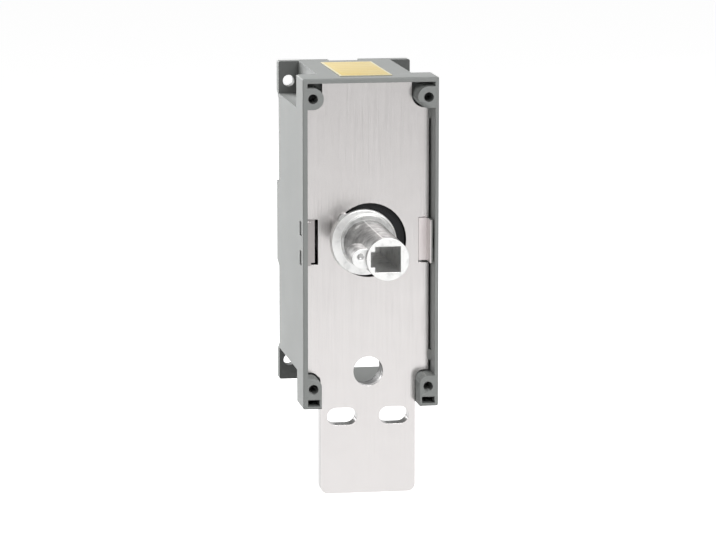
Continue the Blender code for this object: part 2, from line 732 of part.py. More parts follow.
def build_hub():
    """The cast hub: a drafted stem with a square socket and a side lobe, an off-centre flange, and a rear shaft."""
    base_radius = STEM_RADIUS + STEM_DRAFT
    shaft = [
        (0.0, HUB_FRONT_Y),
        (STEM_RADIUS - STEM_EDGE, HUB_FRONT_Y),
        (STEM_RADIUS, HUB_FRONT_Y + STEM_EDGE),
        (base_radius, FLANGE_FRONT_Y),
        (JOURNAL_RADIUS, FLANGE_FRONT_Y),
        (JOURNAL_RADIUS, JOURNAL_BACK_Y),
        (TAIL_RADIUS, JOURNAL_BACK_Y),
        (TAIL_RADIUS, COUPLER_FRONT_Y),
        (0.0, COUPLER_FRONT_Y),
    ]
    hub = turned_shape("hub", shaft)
    flange_centre = (-FLANGE_OFFSET, -FLANGE_DROP)
    flange = [
        (0.0, STEP_FRONT_Y),
        (STEP_RADIUS - STEP_EDGE, STEP_FRONT_Y),
        (STEP_RADIUS, STEP_FRONT_Y + STEP_EDGE),
        (STEP_RADIUS, FLANGE_FRONT_Y),
        (FLANGE_RADIUS - FLANGE_EDGE, FLANGE_FRONT_Y),
        (FLANGE_RADIUS, FLANGE_FRONT_Y + FLANGE_EDGE),
        (FLANGE_RADIUS, FLANGE_BACK_Y),
        (0.0, FLANGE_BACK_Y),
    ]
    join(hub, turned_shape("hub_flange", flange, flange_centre))
    lobe_front = HUB_FRONT_Y + LOBE_SHY
    lobe_centre = (-LOBE_OFFSET, -LOBE_DROP)
    lobe = [
        (0.0, lobe_front),
        (LOBE_RADIUS - STEM_EDGE, lobe_front),
        (LOBE_RADIUS, lobe_front + STEM_EDGE),
        (LOBE_RADIUS, FLANGE_FRONT_Y),
        (0.0, FLANGE_FRONT_Y),
    ]
    join(hub, turned_shape("hub_lobe", lobe, lobe_centre, SMALL_SIDES))
    web = box(
        "hub_web",
        (-LOBE_OFFSET, -SOCKET_SIDE / 2 - KEYWAY_DEPTH),
        (lobe_front + STEM_EDGE, FLANGE_FRONT_Y),
        (-LOBE_DROP - LOBE_WEB / 2, -LOBE_DROP + LOBE_WEB / 2),
    )
    half_spigot = SPIGOT_SIDE / 2
    spigot = box(
        "hub_spigot",
        (-half_spigot, half_spigot),
        (JOURNAL_BACK_Y - OVERRUN, ROTOR_BACK_Y),
        (-half_spigot, half_spigot),
    )
    half_dog = DOG_SIDE / 2
    dog = box("hub_dog", (-half_dog, half_dog), (COUPLER_FRONT_Y - OVERRUN, DOG_BACK_Y), (-half_dog, half_dog))
    join(hub, web, spigot, dog)
    half_socket = SOCKET_SIDE / 2
    socket_y = (HUB_FRONT_Y - OVERRUN, HUB_FRONT_Y + SOCKET_DEPTH)
    socket = box("hub_socket", (-half_socket, half_socket), socket_y, (-half_socket, half_socket))
    keyway = box(
        "hub_keyway",
        (-half_socket - KEYWAY_DEPTH, 0.0),
        socket_y,
        (-KEYWAY_HEIGHT / 2, KEYWAY_HEIGHT / 2),
    )
    dimple = rod(
        "hub_dimple", DIMPLE_RADIUS, lobe_front - OVERRUN, lobe_front + DIMPLE_DEPTH, lobe_centre, SMALL_SIDES
    )
    screw_hole = rod(
        "hub_screw_hole",
        COUPLER_SCREW_RADIUS + GAP,
        COUPLER_SEAT_Y - COUPLER_SCREW_GRIP - GAP,
        DOG_BACK_Y + OVERRUN,
        sides=SMALL_SIDES,
    )
    cut(hub, join(socket, keyway), dimple, screw_hole)
    return dress(hub, ZINC, 0.3, 1.0)


def build_bearing_ring():
    """The black ring in the plate's opening that carries the hub's journal, with a flange behind the plate."""
    neck = OPENING_RADIUS - GAP
    front = PLATE_FRONT_Y + RING_SHY
    profile = [
        (0.0, front),
        (neck - RING_STEP_WIDTH, front),
        (neck - RING_STEP_WIDTH, front + RING_STEP),
        (neck, front + RING_STEP),
        (neck, LEDGE_FRONT_Y),
        (RING_FLANGE_RADIUS, LEDGE_FRONT_Y),
        (RING_FLANGE_RADIUS, RING_FLANGE_BACK_Y),
        (0.0, RING_FLANGE_BACK_Y),
    ]
    ring = turned_shape("bearing_ring", profile, (OPENING_OFFSET, -OPENING_DROP))
    bore = rod("bearing_bore", JOURNAL_RADIUS + GAP, front - OVERRUN, RING_FLANGE_BACK_Y + OVERRUN)
    return dress(cut(ring, bore), BLACK, 0.35)


def groove_outline():
    """The rotor's spiral groove: its radius grows evenly with the turn, from straight down round to the right."""
    half = PIN_RADIUS + GAP
    steps = ARC_STEPS * 2
    outer = []
    inner = []
    for k in range(steps + 1):
        turn = TURN * k / steps
        radius = GROOVE_START_RADIUS + LIFT * turn / TURN
        angle = turn - math.pi / 2
        lead = math.atan2(LIFT / TURN, radius)
        centre = (radius * math.cos(angle), radius * math.sin(angle))
        away = angle - lead
        outer.append((centre[0] + half * math.cos(away), centre[1] + half * math.sin(away)))
        inner.append((centre[0] - half * math.cos(away), centre[1] - half * math.sin(away)))
        if k == 0:
            start, start_away = centre, math.degrees(away)
    end_away = math.degrees(away)
    end_cap = ring_points(*centre, half, end_away, end_away + 180, ARC_STEPS)[1:-1]
    start_cap = ring_points(*start, half, start_away + 180, start_away + 360, ARC_STEPS)[1:-1]
    return outer + end_cap + list(reversed(inner)) + start_cap


def build_rotor():
    """The black cam rotor on the hub's square spigot, with the slide's groove in its rear face."""
    rotor = turned_shape(
        "cam_rotor",
        [
            (0.0, ROTOR_FRONT_Y),
            (ROTOR_RADIUS - RING_EDGE, ROTOR_FRONT_Y),
            (ROTOR_RADIUS, ROTOR_FRONT_Y + RING_EDGE),
            (ROTOR_RADIUS, ROTOR_BACK_Y),
            (0.0, ROTOR_BACK_Y),
        ],
    )
    counterbore = rod("rotor_counterbore", JOURNAL_RADIUS + GAP, ROTOR_FRONT_Y - OVERRUN, JOURNAL_BACK_Y + GAP)
    half = SPIGOT_SIDE / 2 + GAP
    square = box("rotor_square", (-half, half), (ROTOR_FRONT_Y, ROTOR_BACK_Y + OVERRUN), (-half, half))
    groove = prism("rotor_groove", groove_outline(), ROTOR_BACK_Y - GROOVE_DEPTH, ROTOR_BACK_Y + OVERRUN)
    cut(rotor, counterbore, square, groove)
    return dress(rotor, BLACK, 0.4)


def build_lock_slide():
    """The steel slide: a slot clears the hub's tail, a tip closes the port, and a lug takes the spring."""
    half = SLIDE_WIDTH / 2
    right_side = [
        (half, SLIDE_TOP),
        (half, -SLIDE_TIP + SLIDE_TIP_CHAMFER),
        (half - SLIDE_TIP_CHAMFER, -SLIDE_TIP),
    ]
    slide = prism("lock_slide", mirrored(right_side), SLIDE_FRONT_Y, SLIDE_BACK_Y)
    lug = box(
        "slide_lug",
        (-LUG_WIDTH / 2, LUG_WIDTH / 2),
        (SLIDE_FRONT_Y, SLIDE_BACK_Y + LUG_REACH),
        (SLIDE_TOP - LUG_THICKNESS, SLIDE_TOP),
    )
    join(slide, lug)
    through = (SLIDE_FRONT_Y - OVERRUN, SLIDE_BACK_Y + OVERRUN)
    slot_radius = TAIL_RADIUS + SLIDE_SLOT_CLEARANCE
    slot = ring_points(0.0, LIFT, slot_radius, 0, 180, ARC_STEPS) + ring_points(
        0.0, 0.0, slot_radius, 180, 360, ARC_STEPS
    )
    cut(slide, prism("slide_slot", slot, *through))
    pin_centre = (0.0, -GROOVE_START_RADIUS)
    cut(slide, rod("slide_pin_hole", PIN_RADIUS + GAP, *through, pin_centre, SMALL_SIDES))
    return dress(slide, STEEL, 0.35, 1.0)


def build_follower_pin():
    """The pin of the slide that runs in the rotor's groove, with a thin head behind the slide's front face."""
    pin = rod(
        "follower_pin",
        PIN_RADIUS,
        ROTOR_BACK_Y - GROOVE_DEPTH + GAP,
        SLIDE_BACK_Y,
        (0.0, -GROOVE_START_RADIUS),
        SMALL_SIDES,
    )
    return dress(pin, STEEL, 0.25, 1.0)


def build_carrier():
    """The steel carrier across the back of the mechanism, with the bearing hole and a folded spring tab."""
    chamfered = [
        (CARRIER_HALF_WIDTH - CARRIER_CHAMFER, CARRIER_HALF_HEIGHT),
        (CARRIER_HALF_WIDTH, CARRIER_HALF_HEIGHT - CARRIER_CHAMFER),
        (CARRIER_HALF_WIDTH, -CARRIER_HALF_HEIGHT + CARRIER_CHAMFER),
        (CARRIER_HALF_WIDTH - CARRIER_CHAMFER, -CARRIER_HALF_HEIGHT),
    ]
    carrier = prism("carrier_plate", mirrored(chamfered), CARRIER_FRONT_Y, CARRIER_BACK_Y)
    through = (CARRIER_FRONT_Y - OVERRUN, CARRIER_BACK_Y + OVERRUN)
    neck = TAIL_RADIUS + GAP + REAR_BUSH_WALL
    cut(carrier, rod("carrier_bearing_hole", neck + GAP, *through))
    window = box(
        "carrier_window",
        (-WINDOW_HALF_WIDTH, WINDOW_HALF_WIDTH),
        through,
        (WINDOW_FOOT, TAB_PLACE),
    )
    cut(carrier, window)
    for name, side, up in corners():
        centre = (side * POST_PLACE_X, up * POST_PLACE_Z)
        cut(carrier, rod(f"carrier_hole_{name}", SCREW_RADIUS + GAP, *through, centre, SMALL_SIDES))
    for name, x, z in rivet_places():
        cut(carrier, rod(f"carrier_rivet_hole_{name}", RIVET_RADIUS + GAP, *through, (x, z), SMALL_SIDES))
    tab = box(
        "carrier_tab",
        (-TAB_WIDTH / 2, TAB_WIDTH / 2),
        (SLIDE_FRONT_Y, CARRIER_BACK_Y + LUG_REACH / 2),
        (TAB_PLACE, TAB_PLACE + TAB_THICKNESS),
    )
    join(carrier, tab)
    tab_top = TAB_PLACE + TAB_THICKNESS
    head_room = box(
        "carrier_head_room",
        (-SPRING_PIN_HEAD_RADIUS - GAP, SPRING_PIN_HEAD_RADIUS + GAP),
        through,
        (tab_top, tab_top + SPRING_PIN_HEAD_HEIGHT + GAP * 2),
    )
    tab_hole = upright_rod("tab_hole", SPRING_PIN_RADIUS + GAP, TAB_PLACE - OVERRUN, tab_top + OVERRUN)
    cut(carrier, head_room, tab_hole)
    return dress(carrier, STEEL, 0.4, 1.0)


def upright_rod(name, radius, low, high):
    """A cylinder along Z on the spring's axis."""
    return prism(name, ring_points(0.0, SPRING_Y, radius, steps=SMALL_SIDES), low, high, "Z")


def screw_solid(name, centre, radius, head_radius, head_height, seat_y, grip):
    """A screw driven from behind, with a slotted head."""
    back_y = seat_y + head_height
    screw = turned_shape(
        name,
        [
            (0.0, seat_y - grip),
            (radius, seat_y - grip),
            (radius, seat_y),
            (head_radius, seat_y),
            (head_radius, back_y - head_height / 2),
            (head_radius - head_height * SCREW_EDGE_SHARE, back_y),
            (0.0, back_y),
        ],
        centre,
        SMALL_SIDES,
    )
    slot = box(
        f"{name}_slot",
        (centre[0] - head_radius - OVERRUN, centre[0] + head_radius + OVERRUN),
        (back_y - DRIVE_SLOT_DEPTH, back_y + OVERRUN),
        (centre[1] - DRIVE_SLOT_WIDTH / 2, centre[1] + DRIVE_SLOT_WIDTH / 2),
    )
    return cut(screw, slot)


def build_carrier_screws():
    """The four screws that hold the carrier to the case's posts."""
    for name, side, up in corners():
        screw = screw_solid(
            f"carrier_screw_{name}",
            (side * POST_PLACE_X, up * POST_PLACE_Z),
            SCREW_RADIUS,
            SCREW_HEAD_RADIUS,
            SCREW_HEAD_HEIGHT,
            CARRIER_BACK_Y + GAP,
            SCREW_GRIP,
        )
        dress(screw, ZINC, 0.35, 1.0)


def rivet_places():
    """Where the rails are riveted to the carrier, as (name, x, z)."""
    middle = SLIDE_WIDTH / 2 + GAP + RAIL_WIDTH / 2
    return [
        ("upper_left", -middle, RIVET_PLACE),
        ("lower_left", -middle, -RIVET_LOW_PLACE),
        ("upper_right", middle, RIVET_PLACE),
        ("lower_right", middle, -RIVET_LOW_PLACE),
    ]


def build_rails():
    """The two black rails that guide the slide, with a lip over its front below the rotor."""
    for name, side in (("left", -1), ("right", 1)):
        inner = SLIDE_WIDTH / 2 + GAP
        outer = inner + RAIL_WIDTH
        rail_back = CARRIER_FRONT_Y - GAP
        rail = box(f"slide_rail_{name}", sided(side, inner, outer), (SLIDE_FRONT_Y, rail_back), (-RAIL_FOOT, RAIL_TOP))
        lip_front = SLIDE_FRONT_Y - GAP - RAIL_LIP_THICKNESS
        spine = box(
            f"rail_spine_{name}", sided(side, inner, outer), (lip_front, rail_back), (-RAIL_FOOT, -RAIL_LIP_TOP)
        )
        lip = box(
            f"rail_lip_{name}",
            sided(side, inner - RAIL_LIP, outer),
            (lip_front, SLIDE_FRONT_Y - GAP),
            (-RAIL_FOOT, -RAIL_LIP_TOP),
        )
        join(rail, spine, lip)
        for rivet, x, z in rivet_places():
            if x * side > 0:
                hole = rod(
                    f"rail_hole_{rivet}",
                    RIVET_RADIUS + GAP,
                    SLIDE_FRONT_Y + GAP,
                    rail_back + OVERRUN,
                    (x, z),
                    SMALL_SIDES,
                )
                cut(rail, hole)
        dress(rail, BLACK, 0.45)


def build_rivets():
    """The rivets of the rails, each a shank with a low head behind the carrier."""
    tip = SLIDE_FRONT_Y + GAP * 2
    head_front = CARRIER_BACK_Y + GAP
    head_back = head_front + RIVET_HEAD_HEIGHT
    profile = [
        (0.0, tip),
        (RIVET_RADIUS, tip),
        (RIVET_RADIUS, head_front),
        (RIVET_HEAD_RADIUS, head_front),
        (RIVET_HEAD_RADIUS, head_back - RIVET_HEAD_HEIGHT / 2),
        (RIVET_RADIUS, head_back),
        (0.0, head_back),
    ]
    for name, x, z in rivet_places():
        dress(turned_shape(f"rail_rivet_{name}", profile, (x, z), SMALL_SIDES), ZINC, 0.35, 1.0)


def build_rear_bearing():
    """The flanged bush in the carrier, and the washer between it and the coupler."""
    bore = TAIL_RADIUS + GAP
    neck = bore + REAR_BUSH_WALL
    bush = turned_shape(
        "rear_bush",
        [
            (bore, CARRIER_FRONT_Y + GAP),
            (neck, CARRIER_FRONT_Y + GAP),
            (neck, BUSH_FLANGE_FRONT_Y),
            (REAR_BUSH_FLANGE_RADIUS, BUSH_FLANGE_FRONT_Y),
            (REAR_BUSH_FLANGE_RADIUS, BUSH_FLANGE_BACK_Y),
            (bore, BUSH_FLANGE_BACK_Y),
        ],
    )
    dress(bush, BRONZE, 0.35, 1.0)
    washer = tube("thrust_washer", bore, WASHER_RADIUS, WASHER_FRONT_Y, WASHER_BACK_Y)
    dress(washer, STEEL, 0.3, 1.0)


def build_coupler():
    """The rear coupler: square on the hub's dog, with a cross slot for the switch's shaft."""
    coupler = turned_shape(
        "rear_coupler",
        [
            (0.0, COUPLER_FRONT_Y),
            (COUPLER_RADIUS, COUPLER_FRONT_Y),
            (COUPLER_RADIUS, COUPLER_BACK_Y - RING_EDGE),
            (COUPLER_RADIUS - RING_EDGE, COUPLER_BACK_Y),
            (0.0, COUPLER_BACK_Y),
        ],
    )
    half = DOG_SIDE / 2 + GAP
    square = box("coupler_square", (-half, half), (COUPLER_FRONT_Y - OVERRUN, DOG_BACK_Y + GAP), (-half, half))
    reach = COUPLER_RADIUS + OVERRUN
    slot = box(
        "coupler_slot",
        (-reach, reach),
        (COUPLER_SEAT_Y, COUPLER_BACK_Y + OVERRUN),
        (-COUPLER_SLOT_WIDTH / 2, COUPLER_SLOT_WIDTH / 2),
    )
    seat = rod(
        "coupler_seat",
        COUPLER_SCREW_HEAD_RADIUS + GAP,
        COUPLER_SEAT_Y,
        COUPLER_BACK_Y + OVERRUN,
        sides=SMALL_SIDES,
    )
    cut(coupler, square, slot, seat)
    dress(coupler, ZINC, 0.4, 1.0)
    screw = screw_solid(
        "coupler_screw",
        (0.0, 0.0),
        COUPLER_SCREW_RADIUS,
        COUPLER_SCREW_HEAD_RADIUS,
        COUPLER_SCREW_HEAD_HEIGHT,
        COUPLER_SEAT_Y + GAP,
        COUPLER_SCREW_GRIP,
    )
    dress(screw, ZINC, 0.35, 1.0)


def build_port():
    """The black bush behind the plate's port, and the ring on its rear end."""
    centre = (0.0, -PORT_DROP)
    bush_back = LEDGE_BACK_Y + BUSH_OVERHANG
    bush = tube("port_bush", PORT_BORE, PORT_BUSH_RADIUS, LEDGE_FRONT_Y, bush_back, centre)
    dress(bush, BLACK, 0.5)
    ring_bore = PORT_BUSH_RADIUS + GAP
    ring = turned_shape(
        "port_ring",
        [
            (ring_bore, LEDGE_BACK_Y + GAP),
            (PORT_RING_RADIUS, LEDGE_BACK_Y + GAP),
            (PORT_RING_RADIUS, bush_back + GAP + PORT_RING_LIP),
            (PORT_BORE, bush_back + GAP + PORT_RING_LIP),
            (PORT_BORE, bush_back + GAP),
            (ring_bore, bush_back + GAP),
        ],
        centre,
    )
    dress(ring, BLACK, 0.5)


def build_spring():
    """The compression spring between the slide's lug and the carrier's tab, and the pin that guides it."""
    low = SLIDE_TOP + GAP + SPRING_WIRE_RADIUS
    high = TAB_PLACE - GAP - SPRING_WIRE_RADIUS
    steps = SPRING_TURNS * SPRING_STEPS_PER_TURN
    curve = bpy.data.curves.new("lock_spring", "CURVE")
    curve.dimensions = "3D"
    curve.bevel_depth = SPRING_WIRE_RADIUS
    curve.bevel_resolution = SPRING_BEVEL_STEPS
    curve.use_fill_caps = True
    spline = curve.splines.new("POLY")
    spline.points.add(steps)
    for k in range(steps + 1):
        angle = 2 * math.pi * k / SPRING_STEPS_PER_TURN
        x = SPRING_RADIUS * math.cos(angle)
        y = SPRING_Y + SPRING_RADIUS * math.sin(angle)
        z = low + (high - low) * coil_rise_share(k / steps)
        spline.points[k].co = (x, y, z, 1.0)
    spring = bpy.data.objects.new("lock_spring", curve)
    bpy.context.scene.collection.objects.link(spring)
    dress(spring, STEEL, 0.25, 1.0)
    head_low = TAB_PLACE + TAB_THICKNESS + GAP
    pin = upright_rod("spring_pin", SPRING_PIN_RADIUS, SLIDE_TOP + SPRING_PIN_GAP, head_low + GAP)
    head = upright_rod("spring_pin_head", SPRING_PIN_HEAD_RADIUS, head_low, head_low + SPRING_PIN_HEAD_HEIGHT)
    dress(join(pin, head), STEEL, 0.3, 1.0)


def coil_rise_share(along):
    """How far up the coil has risen at a share of its length: its end turns lie closer together."""
    return along - math.sin(2 * math.pi * along) / (2 * math.pi) * SPRING_END_SHARE


def build_label():
    """The bare label on the case's top face."""
    half = LABEL_WIDTH / 2
    front = FRONT_Y + LABEL_FRONT
    back = FRONT_Y + LABEL_BACK
    round_centres = [
        (half - LABEL_CORNER, back - LABEL_CORNER, 0),
        (-half + LABEL_CORNER, back - LABEL_CORNER, 90),
        (-half + LABEL_CORNER, front + LABEL_CORNER, 180),
        (half - LABEL_CORNER, front + LABEL_CORNER, 270),
    ]
    outline = []
    for x, y, start in round_centres:
        outline += ring_points(x, y, LABEL_CORNER, start, start + 90, ARC_STEPS // 2)
    low = HALF_H + LABEL_GAP
    label = prism("top_label", outline, low, low + LABEL_THICKNESS, "Z")
    return dress(label, YELLOW, 0.5)


def main():
    """Build the whole interlock."""
    clear_scene()
    build_housing()
    build_front_plate()
    build_side_clip("left", -1, CLIP_FOOT_LEFT)
    build_side_clip("right", 1, CLIP_FOOT_RIGHT)
    build_bearing_ring()
    build_hub()
    build_rotor()
    build_lock_slide()
    build_follower_pin()
    build_carrier()
    build_carrier_screws()
    build_rails()
    build_rivets()
    build_rear_bearing()
    build_coupler()
    build_port()
    build_spring()
    build_label()


main()
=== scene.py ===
"""Looks of the mechanical interlock: finishes, fine shapes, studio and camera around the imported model."""

import json
import logging
import math
from collections.abc import Iterator
from contextlib import contextmanager
from dataclasses import dataclass, field
from enum import Enum

import bmesh
import bpy
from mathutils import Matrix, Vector

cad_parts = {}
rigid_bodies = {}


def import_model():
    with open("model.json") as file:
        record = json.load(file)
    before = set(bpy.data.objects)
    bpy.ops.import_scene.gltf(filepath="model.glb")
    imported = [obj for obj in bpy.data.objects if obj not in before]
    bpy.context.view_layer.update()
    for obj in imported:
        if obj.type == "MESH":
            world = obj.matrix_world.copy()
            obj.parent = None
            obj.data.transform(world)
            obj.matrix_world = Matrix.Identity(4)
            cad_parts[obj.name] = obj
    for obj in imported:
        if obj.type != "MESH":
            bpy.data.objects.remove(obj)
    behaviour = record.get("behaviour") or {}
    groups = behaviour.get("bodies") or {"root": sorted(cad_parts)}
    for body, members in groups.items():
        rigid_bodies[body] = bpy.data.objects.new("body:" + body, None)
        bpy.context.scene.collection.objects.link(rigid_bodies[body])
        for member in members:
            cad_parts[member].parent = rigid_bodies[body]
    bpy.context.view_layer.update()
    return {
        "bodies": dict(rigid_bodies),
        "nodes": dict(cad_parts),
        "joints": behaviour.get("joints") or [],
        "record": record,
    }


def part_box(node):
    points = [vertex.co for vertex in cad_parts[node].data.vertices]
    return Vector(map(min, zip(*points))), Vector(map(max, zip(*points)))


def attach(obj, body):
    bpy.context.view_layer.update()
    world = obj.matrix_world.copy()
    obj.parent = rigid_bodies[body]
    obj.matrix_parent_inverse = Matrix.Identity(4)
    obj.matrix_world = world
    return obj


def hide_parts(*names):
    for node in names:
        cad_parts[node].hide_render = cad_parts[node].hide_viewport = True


LOG = logging.getLogger("interlock")
MACHINING_AND_LIGHT = "machined"

SHARP = math.radians(35.0)
CORNER = math.radians(40.0)
CLOSE = 0.0001
NUDGE = 0.001
MERGE = 0.000002

Colour = tuple[float, float, float]
Point = tuple[float, float, float]
Pair = tuple[float, float]
Piece = bpy.types.Object
Socket = bpy.types.NodeSocket
Outputs = bpy.types.NodeOutputs
Tree = bpy.types.NodeTree
Node = bpy.types.Node
Material = bpy.types.Material

AXIS: Point = (0.0, 0.0, 0.0)
WHITE = (1.0, 1.0, 1.0, 1.0)


class Body(Enum):
    """The rigid bodies that the new pieces ride on."""

    CASE = "case"
    TURNING = "turning"


class Slot(Enum):
    """The record's material slots that the new pieces take their finish from."""

    CASE = "case_plastic"
    STEEL = "bright_steel"
    CLIP = "clip_plastic"
    BLACK = "black_plastic"
    ZINC = "cast_zinc"
    LABEL = "label_film"


def four(colour: Colour | Socket) -> tuple[float, ...] | Socket:
    """Give a colour full opacity.

    Args:
        colour: the colour, or a socket that gives one.

    Returns:
        The colour with its opacity, or the same socket.
    """
    return colour if isinstance(colour, Socket) else (*colour, 1.0)


@dataclass
class Sheet:
    """The node tree of a material, a world or a group, and what the shared effect in it puts out."""

    tree: Tree
    effect: Outputs | None = None

    def fill(self, node: Node, **inputs: object) -> Node:
        """Fill or wire a node's inputs.

        Args:
            node: the node.
            inputs: values or output sockets. A name is written with underscores for its spaces, and
                _0, _1 and so on stand for inputs by number.

        Returns:
            The same node.
        """
        for name, value in inputs.items():
            key = int(name[1:]) if name.startswith("_") else name.replace("_", " ")
            socket = node.inputs[key]
            if isinstance(value, Socket):
                self.tree.links.new(value, socket)
            else:
                socket.default_value = value
        return node

    def shade(self, **inputs: object) -> None:
        """Fill or wire the inputs of a material's Principled shader.

        Args:
            inputs: as for fill.
        """
        self.fill(self.tree.nodes["Principled BSDF"], **inputs)

    def add(self, kind: str, settings: dict | None = None, **inputs: object) -> Node:
        """Add a node.

        Args:
            kind: the node's type name.
            settings: options of the node itself, by attribute name.
            inputs: as for fill.

        Returns:
            The new node.
        """
        node = self.tree.nodes.new(kind)
        for name, value in (settings or {}).items():
            setattr(node, name, value)
        return self.fill(node, **inputs)

    def math(self, operation: str, first: object, second: object = 0.0) -> Socket:
        """Add a Math node that isn't clamped.

        Args:
            operation: the operation's name.
            first: a value or a socket.
            second: a value or a socket.

        Returns:
            Its output.
        """
        return self.add("ShaderNodeMath", {"operation": operation}, _0=first, _1=second).outputs[0]

    def blend(self, share: object, low: object, high: object) -> Socket:
        """Mix two colours by a share.

        Args:
            share: a value or a socket from 0 to 1.
            low: the colour at 0.
            high: the colour at 1.

        Returns:
            The mixed colour.
        """
        node = self.add("ShaderNodeMix", {"data_type": "RGBA"}, _0=share, _6=four(low), _7=four(high))
        return node.outputs[2]

    def spread(self, value: object, low: float, high: float, start: float = 0.0, end: float = 1.0) -> Socket:
        """Carry a value from one span over to another, held at its ends.

        Args:
            value: a socket.
            low: the result at start.
            high: the result at end.
            start: where the incoming span starts.
            end: where it ends.

        Returns:
            The carried value.
        """
        node = self.add(
            "ShaderNodeMapRange", None, Value=value, From_Min=start, From_Max=end, To_Min=low, To_Max=high
        )
        return node.outputs[0]

    def noise(self, place: object, scale: object, detail: float, roughness: float = 0.5) -> Node:
        """Add a noise texture.

        Args:
            place: where it is read.
            scale: its scale, a value or a socket.
            detail: how many octaves it has.
            roughness: how strong the finer ones are.

        Returns:
            The texture node.
        """
        return self.add(
            "ShaderNodeTexNoise", None, Vector=place, Scale=scale, Detail=detail, Roughness=roughness
        )

    def scaled(self, vector: object, factor: object) -> Socket:
        """Multiply a vector or a colour by one number.

        Args:
            vector: a value or a socket.
            factor: a value or a socket.

        Returns:
            The scaled vector.
        """
        return self.add("ShaderNodeVectorMath", {"operation": "SCALE"}, _0=vector, Scale=factor).outputs[0]

    def place(self) -> Socket:
        """Find the point's own place on the object.

        Returns:
            The place.
        """
        return self.add("ShaderNodeTexCoord").outputs["Object"]

    def parts(self, vector: object = None) -> Outputs:
        """Split a vector.

        Args:
            vector: a value or a socket, or nothing for the point's own place.

        Returns:
            Its X, Y and Z.
        """
        source = self.place() if vector is None else vector
        return self.add("ShaderNodeSeparateXYZ", None, Vector=source).outputs


class Effects:
    """The node groups that several finishes share, each built once."""

    @staticmethod
    def group(name: str, inputs: dict[str, float], outputs: list[str]) -> tuple[Tree, Sheet, Outputs]:
        """Start a node group with numbered sockets.

        Args:
            name: the group's name.
            inputs: its inputs and what they hold by default.
            outputs: its outputs.

        Returns:
            The group, a sheet on it and its given inputs.
        """
        tree = bpy.data.node_groups.new(name, "ShaderNodeTree")
        for title, value in inputs.items():
            socket = tree.interface.new_socket(name=title, in_out="INPUT", socket_type="NodeSocketFloat")
            socket.default_value = value
        for title in outputs:
            tree.interface.new_socket(name=title, in_out="OUTPUT", socket_type="NodeSocketFloat")
        return tree, Sheet(tree), tree.nodes.new("NodeGroupInput").outputs

    @staticmethod
    def mould_grain() -> Tree:
        """The fine spark-eroded grain of moulded plastic, with faint flow clouds.

        Returns:
            A group with a height and a cloud mask.
        """
        tree, sheet, given = Effects.group("mould_grain", {"Size": 1400.0}, ["Height", "Cloud"])
        place = sheet.place()
        fine = sheet.noise(place, given["Size"], 3.0, 0.6).outputs["Fac"]
        pits = sheet.add("ShaderNodeTexVoronoi", None, Vector=place, Scale=given["Size"]).outputs["Distance"]
        cloud = sheet.noise(place, 38.0, 4.0, 0.55)
        height = sheet.math("ADD", fine, sheet.math("MULTIPLY", pits, 0.5))
        mask = sheet.spread(cloud.outputs["Fac"], 0.0, 1.0, 0.3, 0.7)
        sheet.add("NodeGroupOutput", None, Height=height, Cloud=mask)
        return tree

    @staticmethod
    def cast_skin() -> Tree:
        """The uneven skin of a die casting: flow marks, chill patches and small pits.

        Returns:
            A group with a tone, a height and a pit mask.
        """
        inputs = {"Patch": 260.0, "Pit": 900.0}
        tree, sheet, given = Effects.group("cast_skin", inputs, ["Tone", "Height", "Pits"])
        place = sheet.place()
        warp = sheet.noise(place, 90.0, 2.0).outputs["Color"]
        bend = {"operation": "MULTIPLY_ADD"}
        bent = sheet.add("ShaderNodeVectorMath", bend, _0=warp, _1=(0.004, 0.004, 0.004), _2=place).outputs[0]
        patch = sheet.noise(bent, given["Patch"], 5.0, 0.62).outputs["Fac"]
        soft = {"feature": "SMOOTH_F1"}
        chill = sheet.add("ShaderNodeTexVoronoi", soft, Vector=bent, Scale=given["Patch"]).outputs["Distance"]
        pits = sheet.noise(place, given["Pit"], 3.0, 0.7)
        both = sheet.math("ADD", sheet.math("MULTIPLY", patch, 0.75), sheet.math("MULTIPLY", chill, 0.4))
        tone = sheet.spread(both, 0.0, 1.0, 0.34, 0.74)
        pit_mask = sheet.spread(pits.outputs["Fac"], 0.0, 1.0, 0.58, 0.68)
        height = sheet.math("SUBTRACT", both, sheet.math("MULTIPLY", pit_mask, 0.25))
        sheet.add("NodeGroupOutput", None, Tone=tone, Height=height, Pits=pit_mask)
        return tree

    @staticmethod
    def sheet_grain() -> Tree:
        """The rolling grain of sheet steel along its length, with a spangle of zinc.

        Returns:
            A group with a streak, a spangle and a height.
        """
        inputs = {"Grain": 2200.0, "Spangle": 120.0}
        tree, sheet, given = Effects.group("sheet_grain", inputs, ["Streak", "Spangle", "Height"])
        place = sheet.place()
        drawn = sheet.add("ShaderNodeVectorMath", {"operation": "MULTIPLY"}, _0=place, _1=(1.0, 1.0, 0.02))
        streak = sheet.noise(drawn.outputs[0], given["Grain"], 2.0).outputs["Fac"]
        spangle = sheet.noise(place, given["Spangle"], 3.0).outputs["Fac"]
        flake = sheet.spread(spangle, 0.0, 1.0, 0.35, 0.65)
        sheet.add("NodeGroupOutput", None, Streak=streak, Spangle=flake, Height=streak)
        return tree


